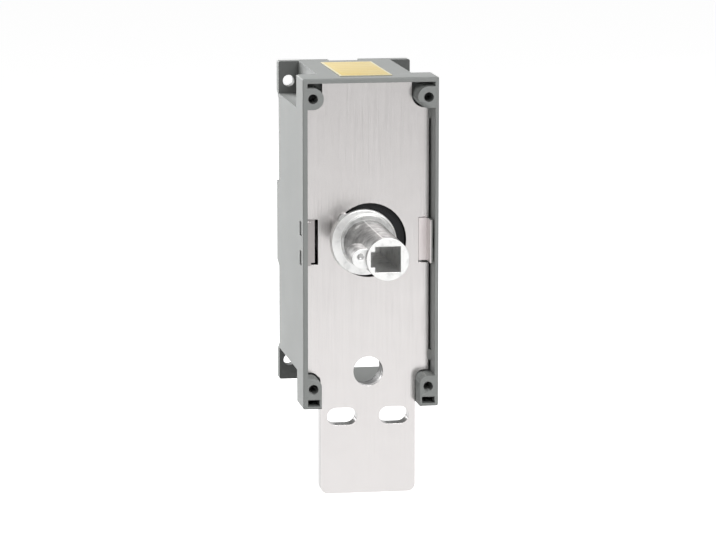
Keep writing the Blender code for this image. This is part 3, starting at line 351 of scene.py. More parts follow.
@dataclass(frozen=True)
class Finish:
    """What every finish shares. Its edge is the radius that sharp edges are rounded to, in metres."""

    name: str
    colour: Colour
    roughness: float
    bump: float
    edge: float = 0.0
    bump_depth: float = 0.0002

    def tint(self, sheet: Sheet) -> Socket:
        """Shade what is special to the finish.

        Args:
            sheet: the material's sheet.

        Returns:
            The finish's colour.
        """
        raise NotImplementedError

    def make(self, tree: Tree) -> Material:
        """Build the material over a shared effect.

        Args:
            tree: the effect's node group.

        Returns:
            The material.
        """
        material = bpy.data.materials.new(self.name)
        material.use_nodes = True
        material.diffuse_color = four(self.colour)
        sheet = Sheet(material.node_tree)
        sheet.shade(Roughness=self.roughness)
        sheet.effect = sheet.add("ShaderNodeGroup", {"node_tree": tree}).outputs
        sheet.shade(Base_Color=self.tint(sheet))
        height = sheet.effect["Height"]
        bump = sheet.add("ShaderNodeBump", None, Strength=self.bump, Distance=self.bump_depth, Height=height)
        if self.edge > 0.0:
            rounded = sheet.add("ShaderNodeBevel", {"samples": 6}, Radius=self.edge)
            sheet.fill(bump, Normal=rounded.outputs[0])
        sheet.shade(Normal=bump.outputs[0])
        return material


@dataclass(frozen=True)
class MouldedPlastic(Finish):
    """Moulded plastic with a fine grain and slightly lighter flow clouds."""

    light: Colour = (0.5, 0.5, 0.5)
    edge: float = 0.0003
    gloss: float = 0.4
    rough_low: float = -0.05
    rough_high: float = 0.06
    notch_shade: float = 1.0
    notch_side: float = 0.0230
    notch_end: float = 0.0640
    notch_front: float = -0.0665
    notch_back: float = -0.0066

    def shaded(self, sheet: Sheet, colour: Socket) -> Socket:
        """Darken the four corner notches, which take little of the studio's light.

        Args:
            sheet: the material's node sheet.
            colour: the plastic's colour.

        Returns:
            The colour with its darker corners.
        """
        split = sheet.parts()
        mask = sheet.math("GREATER_THAN", sheet.math("ABSOLUTE", split["X"]), self.notch_side)
        for test in (
            sheet.math("GREATER_THAN", sheet.math("ABSOLUTE", split["Z"]), self.notch_end),
            sheet.math("GREATER_THAN", split["Y"], self.notch_front),
            sheet.math("LESS_THAN", split["Y"], self.notch_back),
        ):
            mask = sheet.math("MULTIPLY", mask, test)
        return sheet.scaled(colour, sheet.spread(mask, 1.0, self.notch_shade))

    def tint(self, sheet: Sheet) -> Socket:
        """Cloud the colour, the roughness and, where asked, darken the notches.

        Args:
            sheet: the material's sheet.

        Returns:
            The colour.
        """
        low, high = self.roughness + self.rough_low, self.roughness + self.rough_high
        sheet.shade(Specular_IOR_Level=self.gloss, Roughness=sheet.spread(sheet.effect["Cloud"], low, high))
        colour = sheet.blend(sheet.effect["Cloud"], self.colour, self.light)
        return self.shaded(sheet, colour) if self.notch_shade < 1.0 else colour


@dataclass(frozen=True)
class ClipPlastic(Finish):
    """The clips' plastic: the right foot pale, its leg in the case's grey, the left hooks' ends painted near
    black as shade where they sit in the case's side wall.
    """

    pale: Colour = (0.80, 0.75, 0.745)
    leg: Colour = (0.30, 0.31, 0.30)
    leg_start: float = 0.0297
    hook_painted_shade: Colour = (0.030, 0.034, 0.031)
    hook_start: float = 0.0309
    foot_sheen: float = 0.6
    cloud: Pair = (0.96, 1.03)
    edge: float = 0.0002

    def tint(self, sheet: Sheet) -> Socket:
        """Colour the foot, the leg and the hooks by their place across.

        Args:
            sheet: the material's sheet.

        Returns:
            The colour.
        """
        across = sheet.parts()["X"]
        on_right = sheet.math("GREATER_THAN", across, 0.0)
        foot = sheet.blend(on_right, self.colour, self.pale)
        on_leg = sheet.math("GREATER_THAN", across, self.leg_start)
        base = sheet.blend(on_leg, foot, self.leg)
        # Painted shade: the left hooks' ends are painted near black for the shade where they sit in the side
        # wall.
        base = sheet.blend(sheet.math("LESS_THAN", across, -self.hook_start), base, self.hook_painted_shade)
        sheen = sheet.math("MULTIPLY", sheet.math("SUBTRACT", on_right, on_leg), self.foot_sheen)
        sheet.shade(Metallic=sheen)
        return sheet.scaled(base, sheet.spread(sheet.effect["Cloud"], *self.cloud))


@dataclass(frozen=True)
class SheetSteel(Finish):
    """Bright plated sheet steel: a drawn grain, a soft spangle, a lower end painted brighter as painted
    light, and cut sides painted darker, partly as duller sheared steel and partly as painted shade.
    """

    dull: Colour = (0.6, 0.6, 0.6)
    edge: float = 0.0002
    painted_light_low: float = -0.12
    painted_light_high: float = 0.01
    painted_light_gain: float = 0.0
    cut_dull_and_shade: float = 1.0
    cut_dull_and_shade_span: Pair = (0.3, 0.6)
    rough_low: float = -0.03
    rough_high: float = 0.05
    streak_span: Pair = (0.3, 0.7)
    streak_share: float = 0.4

    def tint(self, sheet: Sheet) -> Socket:
        """Mix grain and spangle, paint light onto the lower end and darken the cut sides, partly as duller
        sheared steel and partly as painted shade.

        Args:
            sheet: the material's sheet.

        Returns:
            The colour.
        """
        low, high = self.roughness + self.rough_low, self.roughness + self.rough_high
        streak = sheet.effect["Streak"]
        sheet.shade(Metallic=1.0, Roughness=sheet.spread(streak, low, high, *self.streak_span))
        spangle = sheet.math("MULTIPLY", sheet.effect["Spangle"], 1.0 - self.streak_share)
        mixed = sheet.math("ADD", spangle, sheet.math("MULTIPLY", streak, self.streak_share))
        colour = sheet.blend(mixed, self.dull, self.colour)
        # Painted light: the lower end of the plate is painted brighter, as it takes more light from the floor
        # below.
        if self.painted_light_gain > 0.0:
            gain = sheet.spread(
                sheet.parts()["Z"], 1.0 + self.painted_light_gain, 1.0, self.painted_light_low, self.painted_light_high
            )
            colour = sheet.scaled(colour, gain)
        # The cut sides are painted darker: partly the duller sheared steel, partly painted shade in the slots
        # and openings.
        if self.cut_dull_and_shade < 1.0:
            facing = sheet.add("ShaderNodeNewGeometry").outputs["True Normal"]
            forward = sheet.math("ABSOLUTE", sheet.parts(facing)["Y"])
            colour = sheet.scaled(colour, sheet.spread(forward, self.cut_dull_and_shade, 1.0, *self.cut_dull_and_shade_span))
        return colour


@dataclass(frozen=True)
class CastMetal(Finish):
    """A raw casting, dark and patchy in its skin, bright where the piece's face attribute says so; that
    attribute holds both bright faces from machining and rubbing and painted shade and highlights.
    """

    dark: Colour = (0.3, 0.3, 0.3)
    skin_light: Colour = (0.5, 0.5, 0.5)
    metallic: float = 0.75
    skin_rough: float = 0.12
    rub_low: float = 0.72
    rub_end: float = 0.5
    pit_share: float = 0.6
    edge: float = 0.0004

    def tint(self, sheet: Sheet) -> Socket:
        """Lay the patchy skin under the bright faces from machining and rubbing, with the painted shade and
        highlights that the face attribute carries.

        Args:
            sheet: the material's sheet.

        Returns:
            The colour.
        """
        # The face attribute mixes machining and rubbing with painted shade and painted highlights.
        machined = sheet.add("ShaderNodeAttribute", {"attribute_name": MACHINING_AND_LIGHT}).outputs["Fac"]
        wear = sheet.spread(sheet.effect["Tone"], self.rub_low, 1.0, 0.0, self.rub_end)
        rubbed_and_lit = sheet.math("MULTIPLY", machined, wear)
        rough = sheet.spread(rubbed_and_lit, self.roughness + self.skin_rough, self.roughness)
        sheet.shade(Metallic=self.metallic, Roughness=rough)
        clouded = sheet.blend(sheet.effect["Tone"], self.dark, self.skin_light)
        pitted = sheet.blend(sheet.effect["Pits"], clouded, tuple(self.pit_share * c for c in self.dark))
        return sheet.blend(rubbed_and_lit, pitted, self.colour)


@dataclass(frozen=True)
class LabelFilm(Finish):
    """A bare yellow film with a pale border and faint plain bars."""

    border: Colour = (0.9, 0.85, 0.7)
    bar: Colour = (0.7, 0.5, 0.2)
    centre: float = -0.0009
    half_width: float = 0.0117
    middle: float = -0.0490
    half_length: float = 0.0300
    pitch: float = 0.0078
    bar_share: float = 0.13
    column_share: float = 0.78
    bar_strength: float = 0.5
    fading: float = 0.35

    def tint(self, sheet: Sheet) -> Socket:
        """Lay a pale border and faint bars on the film.

        Args:
            sheet: the material's sheet.

        Returns:
            The colour.
        """
        split = sheet.parts()
        across = sheet.math("ABSOLUTE", sheet.math("SUBTRACT", split["X"], self.centre))
        along = sheet.math("SUBTRACT", split["Y"], self.middle)
        outside = sheet.math(
            "MAXIMUM",
            sheet.math("GREATER_THAN", across, self.half_width),
            sheet.math("GREATER_THAN", sheet.math("ABSOLUTE", along), self.half_length),
        )
        row = sheet.math("PINGPONG", along, self.pitch / 2)
        in_row = sheet.math("LESS_THAN", row, self.pitch * self.bar_share)
        in_column = sheet.math("LESS_THAN", across, self.half_width * self.column_share)
        bars = sheet.math("MULTIPLY", sheet.math("MULTIPLY", in_row, in_column), self.bar_strength)
        fading = sheet.math("MULTIPLY", sheet.effect["Cloud"], self.fading)
        faded = sheet.blend(fading, self.colour, self.border)
        printed = sheet.blend(bars, faded, self.bar)
        return sheet.blend(outside, printed, self.border)


def clear_selection() -> None:
    """Deselect everything, so that an operator acts only on what comes next."""
    if bpy.context.mode != "OBJECT":
        bpy.ops.object.mode_set(mode="OBJECT")
    bpy.ops.object.select_all(action="DESELECT")


def only(piece: Piece) -> None:
    """Make one object the selected and active one.

    Args:
        piece: the object.
    """
    clear_selection()
    piece.select_set(True)
    bpy.context.view_layer.objects.active = piece


@contextmanager
def editing(piece: Piece, action: str) -> Iterator[None]:
    """Work on one object in edit mode.

    Args:
        piece: the object.
        action: SELECT or DESELECT, done to its whole mesh first.
    """
    only(piece)
    bpy.ops.object.mode_set(mode="EDIT")
    bpy.ops.mesh.select_all(action=action)
    yield
    bpy.ops.object.mode_set(mode="OBJECT")


def reach(point: Vector, centre: Point | Pair) -> float:
    """How far a point lies from a centre, seen along Y.

    Args:
        point: the point.
        centre: the centre, of which the first number and the last count.

    Returns:
        The distance.
    """
    return math.hypot(point.x - centre[0], point.z - centre[-1])


def settle(piece: Piece) -> None:
    """Carry the object's place, turn and scale into its mesh.

    Args:
        piece: the object.
    """
    only(piece)
    bpy.ops.object.transform_apply(location=True, rotation=True, scale=True)


def apply_modifier(piece: Piece, kind: str, **settings: object) -> None:
    """Add a modifier with its settings and apply it.

    Args:
        piece: the object.
        kind: the modifier's type.
        settings: its options.
    """
    only(piece)
    modifier = piece.modifiers.new(kind.lower(), kind)
    for name, value in settings.items():
        setattr(modifier, name, value)
    bpy.ops.object.modifier_apply(modifier=modifier.name)


def ease(piece: Piece, width: float, segments: int = 2) -> None:
    """Round a piece's corners.

    Args:
        piece: the object.
        width: how wide the rounding is.
        segments: how many facets it has.
    """
    apply_modifier(piece, "BEVEL", width=width, segments=segments, limit_method="ANGLE", angle_limit=CORNER)


def combine(piece: Piece, other: Piece, operation: str) -> None:
    """Join another object on, cut it away or keep what both share, and remove it.

    Args:
        piece: the object that stays.
        other: the object that is used up.
        operation: UNION, DIFFERENCE or INTERSECT.
    """
    apply_modifier(piece, "BOOLEAN", object=other, operation=operation, solver="EXACT")
    bpy.data.objects.remove(other, do_unlink=True)


def add_rod(
    name: str, radius: float, front: float, back: float,
    centre: Point = AXIS, sides: int = 96, taper: float = 0.0,
) -> Piece:
    """Add a round rod along Y, by its two ends.

    Args:
        name: the object's name.
        radius: the radius at the front end.
        front: the front end's Y.
        back: the back end's Y.
        centre: a point on its axis, of which X and Z count.
        sides: how many sides it has.
        taper: how much larger the radius is at the back end.

    Returns:
        The rod.
    """
    clear_selection()
    bpy.ops.mesh.primitive_cone_add(
        vertices=sides,
        radius1=radius,
        radius2=radius + taper,
        depth=back - front,
        location=(centre[0], (front + back) / 2, centre[2]),
        rotation=(-math.pi / 2, 0.0, 0.0),
    )
    piece = bpy.context.active_object
    piece.name = name
    settle(piece)
    return piece


def add_block(name: str, low: Point, high: Point) -> Piece:
    """Add a box between two corners.

    Args:
        name: the object's name.
        low: its lowest corner.
        high: its highest corner.

    Returns:
        The box.
    """
    clear_selection()
    middle = tuple((a + b) / 2 for a, b in zip(low, high))
    spans = tuple(b - a for a, b in zip(low, high))
    bpy.ops.mesh.primitive_cube_add(size=1.0, location=middle, scale=spans)
    piece = bpy.context.active_object
    piece.name = name
    settle(piece)
    return piece


def smooth(piece: Piece) -> None:
    """Shade a piece smooth, but for its sharper edges.

    Args:
        piece: the object.
    """
    only(piece)
    bpy.ops.object.shade_smooth_by_angle(angle=SHARP)


def outward(piece: Piece) -> None:
    """Merge doubles and turn the faces outwards.

    Args:
        piece: the object.
    """
    with editing(piece, "SELECT"):
        bpy.ops.mesh.remove_doubles(threshold=MERGE)
        bpy.ops.mesh.normals_make_consistent(inside=False)


@dataclass
class Dresser:
    """Makes every finish once and gives the pieces the finish of their slot and their body."""

    made: dict[str, Material] = field(default_factory=dict)

    def make_all(self) -> None:
        """Build the shared effects and every material."""
        grain = Effects.mould_grain()
        skin = Effects.cast_skin()
        rolled = Effects.sheet_grain()
        case = MouldedPlastic(
            "case_plastic", (0.292, 0.305, 0.296), 0.5, 0.10, light=(0.318, 0.330, 0.322), notch_shade=0.42
        )
        clip = ClipPlastic("clip_plastic", (0.55, 0.52, 0.513), 0.40, 0.05)
        black = MouldedPlastic(
            "black_plastic", (0.007, 0.007, 0.008), 0.34, 0.06, light=(0.012, 0.012, 0.014), gloss=0.25
        )
        plate = SheetSteel(
            "bright_steel", (0.594, 0.574, 0.568), 0.17, 0.008,
            dull=(0.578, 0.558, 0.552), painted_light_gain=0.11, cut_dull_and_shade=0.42,
        )
        plated = SheetSteel("plated_steel", (0.62, 0.62, 0.63), 0.30, 0.05, dull=(0.48, 0.48, 0.49))
        spring = SheetSteel("spring_steel", (0.46, 0.46, 0.46), 0.3, 0.04, dull=(0.34, 0.34, 0.34))
        bronze = CastMetal(
            "bronze", (0.52, 0.35, 0.16), 0.35, 0.1,
            dark=(0.34, 0.21, 0.09), skin_light=(0.48, 0.32, 0.14), metallic=1.0,
        )
        zinc = CastMetal(
            "cast_zinc", (0.90, 0.90, 0.89), 0.30, 0.5,
            dark=(0.12, 0.12, 0.118), skin_light=(0.42, 0.415, 0.41),
        )
        label = LabelFilm("label_film", (0.83, 0.63, 0.18), 0.45, 0.04, border=(0.90, 0.82, 0.55))
        for finish in (case, clip, black, label):
            self.made[finish.name] = finish.make(grain)
        for finish in (plate, plated, spring):
            self.made[finish.name] = finish.make(rolled)
        for finish in (bronze, zinc):
            self.made[finish.name] = finish.make(skin)

    def nodes(self, frame: dict) -> None:
        """Give every CAD node the finish of its slot.
        """
        for entry in frame["record"]["subparts"]:
            node = frame["nodes"][entry["node"]]
            node.data.materials.clear()
            node.data.materials.append(self.made[entry["material_slot"]])
            LOG.info("dressed %s as %s", entry["node"], entry["material_slot"])

    def piece(self, piece: Piece, body: Body, slot: Slot) -> None:
        """Dress a new piece and let it ride.

        Args:
            piece: the object.
            body: the body that it moves with.
            slot: the slot that it takes its finish from.
        """
        piece.data.materials.clear()
        piece.data.materials.append(self.made[slot.value])
        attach(piece, body.value)
        LOG.info("built %s on %s, %d faces", piece.name, body.value, len(piece.data.polygons))


@dataclass
class CastHub:
    """The hub as a casting: drafted stem, lobe, off-centre flange with a cast root, and the rear shaft."""

    stem_radius: float = 0.0101
    draft: float = 0.0005
    plate_gap: float = 0.0003
    flange_thickness: float = 0.0030
    flange_radius: float = 0.0160
    flange_chamfer: float = 0.0007
    flange_centre: Point = (-0.0019, 0.0, -0.0005)
    step_thickness: float = 0.0014
    step_radius: float = 0.0134
    step_chamfer: float = 0.0009
    nose_radius: float = 0.0033
    nose_place: float = 0.0141
    nose_degrees: float = 130.0
    lobe_centre: Point = (-0.0118, 0.0, 0.0)
    lobe_radius: float = 0.0046
    lobe_shy: float = 0.0035
    lobe_length: float = 0.018
    socket_half: float = 0.0061
    socket_depth: float = 0.058
    socket_gap: float = 0.0003
    keyway: float = 0.0020
    keyway_half: float = 0.00375
    dimple_radius: float = 0.0024
    dimple_centre: Point = (-0.0123, 0.0, 0.0009)
    dimple_depth: float = 0.0008
    root_length: float = 0.020
    root_radius: float = 0.0113
    root_tip_shy: float = 0.0009
    root_centre: Point = (-0.0010, 0.0, -0.0007)
    root_sides: int = 17
    root_trim: float = 0.05
    root_waves: float = 3.0
    root_phase: float = 1.1
    root_swell: float = 0.035
    root_ripples: float = 7.0
    root_ripple: float = 0.012
    journal_reach: float = 0.0067
    journal_radius: float = 0.0129
    spigot_half: float = 0.0065
    tail_radius: float = 0.0059
    dog_half: float = 0.004
    screw_radius: float = 0.0023
    screw_depth: float = 0.0097
    edge: float = 0.00035
    socket_share: float = 0.96
    step_painted_shade_share: float = 0.40
    seam_share: float = 0.35
    dimple_share: float = 0.45
    skin_share: float = 0.16
    painted_shade_fall: float = 0.45
    painted_shade_lean: float = 0.2
    skin_limit: float = 0.85
    facets: float = 5.0
    facet_twist: float = 420.0
    painted_highlight_share: float = 0.75
    painted_highlight_arc: Pair = (1.1, 2.7)
    front: float = field(init=False, default=0.0)
    flange_back: float = field(init=False, default=0.0)
    flange_front: float = field(init=False, default=0.0)

    def __post_init__(self) -> None:
        """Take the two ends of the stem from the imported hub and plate."""
        self.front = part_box("hub")[0].y
        self.flange_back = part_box("front_plate")[0].y - self.plate_gap
        self.flange_front = self.flange_back - self.flange_thickness

    def root(self) -> Piece:
        """The uneven cone of metal round the stem's foot.

        Returns:
            The cone.
        """
        start = self.flange_front - self.root_length
        foot = self.flange_front - self.step_thickness / 2
        tip_radius = self.stem_radius - self.root_tip_shy
        taper = self.root_radius - tip_radius
        cone = add_rod("hub_root", tip_radius, start, foot, self.root_centre, self.root_sides, taper)
        with editing(cone, "SELECT"):
            bpy.ops.mesh.subdivide(number_cuts=2)
        for vert in cone.data.vertices:
            along = (vert.co.y - start) / self.root_length
            if not self.root_trim < along < 1.0 - self.root_trim:
                continue
            turn = math.atan2(vert.co.z, vert.co.x)
            wave = math.sin(self.root_waves * turn + self.root_phase) * math.sin(math.pi * along)
            ripple = math.sin(self.root_ripples * turn)
            swell = 1.0 + self.root_swell * wave + self.root_ripple * ripple
            vert.co.x *= swell
            vert.co.z *= swell
        return cone

    def flange(self) -> Piece:
        """The off-centre flange with its bright chamfer and the step on it.

        Returns:
            The flange.
        """
        rear = self.flange_back - self.plate_gap
        disc = add_rod(
            "hub_flange", self.flange_radius, self.flange_front, self.flange_back, self.flange_centre, 120
        )
        with editing(disc, "DESELECT"):
            shell = bmesh.from_edit_mesh(disc.data)
            for face in shell.faces:
                face.select = face.normal.y < -0.9
            bmesh.update_edit_mesh(disc.data)
            bpy.ops.mesh.bevel(offset=self.flange_chamfer, segments=3, profile=0.6, affect="EDGES")
        turn = math.radians(self.nose_degrees)
        nose_centre = (
            self.flange_centre[0] + self.nose_place * math.cos(turn), 0.0,
            self.flange_centre[2] + self.nose_place * math.sin(turn),
        )
        nose_front = self.flange_front + self.flange_chamfer
        combine(disc, add_rod("hub_nose", self.nose_radius, nose_front, rear, nose_centre, 48), "UNION")
        step = add_rod("hub_step", self.step_radius, self.flange_front - self.step_thickness, rear)
        ease(step, self.step_chamfer, 3)
        combine(disc, step, "UNION")
        return disc

    def lobe(self) -> Piece:
        """The lug beside the stem, round outside and as high all the way to the stem.

        Returns:
            The lug.
        """
        front = self.front + self.lobe_shy
        back = front + self.lobe_length
        lobe = add_rod("hub_lobe", self.lobe_radius, front, back, self.lobe_centre, 64)
        web = add_block(
            "hub_web",
            (self.lobe_centre[0], front, -self.lobe_radius),
            (-self.socket_half - self.socket_gap, back, self.lobe_radius),
        )
        combine(lobe, web, "UNION")
        return lobe

    def front_end(self) -> Piece:
        """The stem with its root, flange and lug.

        Returns:
            The joined metal.
        """
        hub = add_rod("cast_hub", self.stem_radius, self.front, self.flange_front, taper=self.draft)
        combine(hub, self.root(), "UNION")
        combine(hub, self.flange(), "UNION")
        combine(hub, self.lobe(), "UNION")
        return hub

    def rear_end(self, hub: Piece) -> None:
        """Join on the journal, spigot, tail and dog behind the flange.

        Args:
            hub: the hub.
        """
        journal_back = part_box("front_plate")[1].y + self.journal_reach
        rotor_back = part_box("cam_rotor")[1].y
        coupler_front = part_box("rear_coupler")[0].y
        dog_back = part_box("hub")[1].y
        overlap = journal_back - NUDGE
        inside = self.flange_front + self.flange_chamfer
        spigot, dog = self.spigot_half, self.dog_half
        combine(hub, add_rod("hub_journal", self.journal_radius, inside, journal_back), "UNION")
        square = add_block("hub_spigot", (-spigot, overlap, -spigot), (spigot, rotor_back, spigot))
        combine(hub, square, "UNION")
        combine(hub, add_rod("hub_tail", self.tail_radius, overlap, coupler_front, sides=64), "UNION")
        combine(hub, add_block("hub_dog", (-dog, coupler_front - NUDGE, -dog), (dog, dog_back, dog)), "UNION")
        hole = add_rod(
            "hub_screw_hole", self.screw_radius, dog_back - self.screw_depth, dog_back + NUDGE, sides=24
        )
        combine(hub, hole, "DIFFERENCE")

    def build(self) -> Piece:
        """Build the whole hub.

        Returns:
            The hub.
        """
        hub = self.front_end()
        self.rear_end(hub)
        half = self.socket_half
        ahead = self.front - NUDGE
        bottom = self.front + self.socket_depth
        socket = add_block("hub_socket", (-half, ahead, -half), (half, bottom, half))
        keyway = add_block(
            "hub_keyway", (-half - self.keyway, ahead, -self.keyway_half), (0.0, bottom, self.keyway_half)
        )
        combine(socket, keyway, "UNION")
        combine(hub, socket, "DIFFERENCE")
        self.dimple(hub)
        outward(hub)
        ease(hub, self.edge)
        smooth(hub)
        apply_modifier(hub, "WEIGHTED_NORMAL", keep_sharp=True)
        self.mark_machined(hub)
        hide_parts("hub")
        return hub

    def mark_machined(self, hub: Piece) -> None:
        """Say how bright each face is: bright from machining or rubbing, with painted shade on the step's
        face and on the skin that faces up and to the left, and painted highlights in bands on the root.

        Args:
            hub: the hub.
        """
        mark = hub.data.attributes.new(MACHINING_AND_LIGHT, "FLOAT", "FACE")
        step_front = self.flange_front - self.step_thickness
        lobe_front = self.front + self.lobe_shy
        half = self.socket_half + 2 * CLOSE
        for face in hub.data.polygons:
            centre, normal = face.center, face.normal
            in_socket = max(abs(centre.x), abs(centre.z)) < half
            in_keyway = -half - self.keyway < centre.x < 0.0 and abs(centre.z) < self.keyway_half
            in_dimple = reach(centre, self.dimple_centre) < self.dimple_radius
            if (in_socket or in_keyway) and normal.y > -0.5 and centre.y < self.flange_back:
                share = self.socket_share
            # Painted shade: the step's front face is painted darker than the flange.
            elif abs(centre.y - step_front) < 2 * CLOSE and normal.y < -0.95:
                share = self.step_painted_shade_share
            elif centre.y > step_front - 4 * CLOSE:
                on_flange = reach(centre, self.flange_centre) < self.flange_radius + CLOSE
                share = 1.0 if on_flange else self.seam_share
            elif in_dimple and lobe_front + 2 * CLOSE < centre.y < lobe_front + 3 * NUDGE:
                share = self.dimple_share
            elif centre.y < self.front + NUDGE or normal.y < -0.55:
                share = 1.0
            else:
                # Painted shade and highlights: the skin is painted darker where it faces up and to the left,
                # and lighter in twisted bands on the root's upper side.
                turn = math.atan2(centre.z, centre.x)
                facet = math.sin(self.facets * turn + self.facet_twist * (centre.y - step_front))
                in_arc = self.painted_highlight_arc[0] < turn < self.painted_highlight_arc[1]
                on_root = centre.y > step_front - self.root_length and in_arc
                lit = self.painted_highlight_share * max(0.0, facet) if on_root else 0.0
                slope = normal.z - self.painted_shade_lean * normal.x
                share = max(0.0, min(self.skin_limit, self.skin_share - self.painted_shade_fall * slope + lit))
            mark.data[face.index].value = share

    def dimple(self, hub: Piece) -> None:
        """Sink the round centre mark in the lobe's end.

        Args:
            hub: the hub.
        """
        clear_selection()
        depth = self.front + self.lobe_shy + self.dimple_depth - self.dimple_radius
        centre = (self.dimple_centre[0], depth, self.dimple_centre[2])
        bpy.ops.mesh.primitive_uv_sphere_add(
            segments=32, ring_count=16, radius=self.dimple_radius, location=centre
        )
        ball = bpy.context.active_object
        ball.name = "hub_dimple"
        settle(ball)
        combine(hub, ball, "DIFFERENCE")


@dataclass
class EasedNode:
    """A CAD node with its sharp edges eased, which takes the node's place."""

    node: str
    width: float

    def reshape(self, piece: Piece) -> None:
        """Move the copy's corners to where the photo has them. A plain eased node keeps them.

        Args:
            piece: the merged copy.
        """

    def build(self) -> Piece:
        """Copy the node, merge it and ease its edges.

        Returns:
            The eased piece.
        """
        source = bpy.data.objects[self.node]
        piece = bpy.data.objects.new(f"{self.node}_eased", source.data.copy())
        piece.matrix_world = source.matrix_world.copy()
        bpy.context.scene.collection.objects.link(piece)
        settle(piece)
        outward(piece)
        apply_modifier(piece, "DECIMATE", decimate_type="DISSOLVE", angle_limit=math.radians(0.5))
        self.reshape(piece)
        if self.width > 0.0:
            ease(piece, self.width)
        smooth(piece)
        apply_modifier(piece, "WEIGHTED_NORMAL", keep_sharp=True)
        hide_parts(self.node)
        return piece


@dataclass
class PlateOpening:
    """A round opening in the plate: the CAD's circle and the one in the photo."""

    cad_centre: Pair = (0.0006, -0.0003)
    cad_radius: float = 0.0186
    centre: Pair = (0.0011, 0.0001)
    radius: float = 0.0180

    def carry(self, point: Vector) -> None:
        """Carry a point on a circle round the CAD's centre over to the photo's circle.

        Args:
            point: the point, moved in place.
        """
        across, up = point.x - self.cad_centre[0], point.z - self.cad_centre[1]
        share = 1.0 + (self.radius - self.cad_radius) / math.hypot(across, up)
        point.x = self.centre[0] + across * share
        point.z = self.centre[1] + up * share


@dataclass
class FrontPlate(EasedNode):
    """The steel plate with the photo's longer and thicker tail, lower slots, side gaps and openings."""

    opening: PlateOpening = field(default_factory=PlateOpening)
    port: PlateOpening = field(
        default_factory=lambda: PlateOpening((0.0, -0.0637), 0.0075, (0.0006, -0.0642), 0.0072)
    )
    left: float = -0.0298
    right: float = 0.0302
    notch_edge: float = 0.0240
    notch_height: float = 0.0130
    notch_shift: float = 0.0012
    tail_start: float = -0.0665
    tail_side: float = 0.0190
    tail_left_shift: float = 0.0005
    tail_right_shift: float = 0.0003
    tail_end: float = -0.1100
    tail_growth: float = 0.0019
    tail_room: tuple[Point, Point] = ((-0.04, -0.1, -0.13), (0.04, -0.05, -0.0803))
    tail_split: float = -0.0731
    tail_setback: float = 0.0010
    tail_depth: float = 0.0040
    slot_middle: float = -0.0854
    slot_reach: float = 0.0046
    slot_half_width: float = 0.0225
    slot_shift: float = 0.0005
    slot_drop: float = 0.0008
    slot_scale: float = 0.97
    rim: float = 0.0004

    def reshape(self, piece: Piece) -> None:
        """Move the plate's corners to where the photo has them.

        Args:
            piece: the merged copy.
        """
        for vert in piece.data.vertices:
            point = vert.co
            above = point.z - self.slot_middle
            in_slot = abs(above) < self.slot_reach and abs(point.x) < self.slot_half_width
            if reach(point, self.opening.cad_centre) < self.opening.cad_radius + self.rim:
                self.opening.carry(point)
            elif reach(point, self.port.cad_centre) < self.port.cad_radius + self.rim:
                self.port.carry(point)
            elif in_slot:
                point.x += self.slot_shift
                point.z = self.slot_middle - self.slot_drop + above * self.slot_scale
            elif point.z < self.tail_start and abs(point.x) > self.tail_side:
                point.x += self.tail_right_shift if point.x > 0.0 else self.tail_left_shift
            if point.z < self.tail_end:
                point.z -= self.tail_growth
            if abs(point.x - self.notch_edge) < 2 * CLOSE and abs(point.z) < self.notch_height:
                point.x += self.notch_shift
            point.x = max(self.left, min(self.right, point.x))
        self.thicken(piece)

    def thicken(self, piece: Piece) -> None:
        """Thicken the tail towards the rear, with its slots.

        Args:
            piece: the reshaped plate.
        """
        tail = bpy.data.objects.new("front_plate_tail", piece.data.copy())
        bpy.context.scene.collection.objects.link(tail)
        combine(tail, add_block("front_plate_tail_room", *self.tail_room), "INTERSECT")
        for vert in tail.data.vertices:
            vert.co.y += self.tail_depth if vert.co.y > self.tail_split else self.tail_setback
        combine(piece, tail, "UNION")


@dataclass
class RightClip(EasedNode):
    """The right clip with its narrower foot and thinner leg."""

    foot_edge: float = 0.0250
    foot_shift: float = 0.0010
    leg_face: float = 0.0288
    leg_shift: float = 0.0005

    def reshape(self, piece: Piece) -> None:
        """Move the foot's inner edge and the leg's inner face.

        Args:
            piece: the merged copy.
        """
        for vert in piece.data.vertices:
            if vert.co.x < self.foot_edge:
                vert.co.x += self.foot_shift
            elif abs(vert.co.x - self.leg_face) < CLOSE:
                vert.co.x += self.leg_shift


@dataclass
class Case(EasedNode):
    """The case with softer outer edges on its frame, a thinner right wall and a ramp to its rear lip."""

    recess_side: float = 0.0307
    recess_back: float = -0.0720
    wall_shift: float = 0.0005
    lip_front: float = -0.0090
    lip_top: float = -0.0739
    lip_drop: float = 0.0012
    ramp_start: float = -0.0430
    side: float = 0.0330
    top: float = 0.0800
    front: float = -0.0890
    edge: float = 0.0006

    def reshape(self, piece: Piece) -> None:
        """Move the wall and the lip, then ease the frame's outer edges.

        Args:
            piece: the merged copy.
        """
        for vert in piece.data.vertices:
            point = vert.co
            if abs(point.x - self.recess_side) < CLOSE and point.y < self.recess_back:
                point.x += self.wall_shift
            if abs(point.z - self.lip_top) < CLOSE and point.y > self.lip_front - CLOSE:
                point.z -= self.lip_drop
            elif abs(point.y - self.lip_front) < CLOSE and point.z < self.lip_top - NUDGE:
                point.y = self.ramp_start
        with editing(piece, "DESELECT"):
            shell = bmesh.from_edit_mesh(piece.data)
            for edge in shell.edges:
                ends = [vert.co for vert in edge.verts]
                in_front = all(abs(end.y - self.front) < CLOSE for end in ends)
                on_side = all(abs(abs(end.x) - self.side) < CLOSE for end in ends)
                on_top = all(abs(end.z - self.top) < CLOSE for end in ends)
                edge.select_set(in_front and (on_side or on_top))
            bmesh.update_edit_mesh(piece.data)
            bpy.ops.mesh.bevel(offset=self.edge, segments=3, affect="EDGES", clamp_overlap=True)


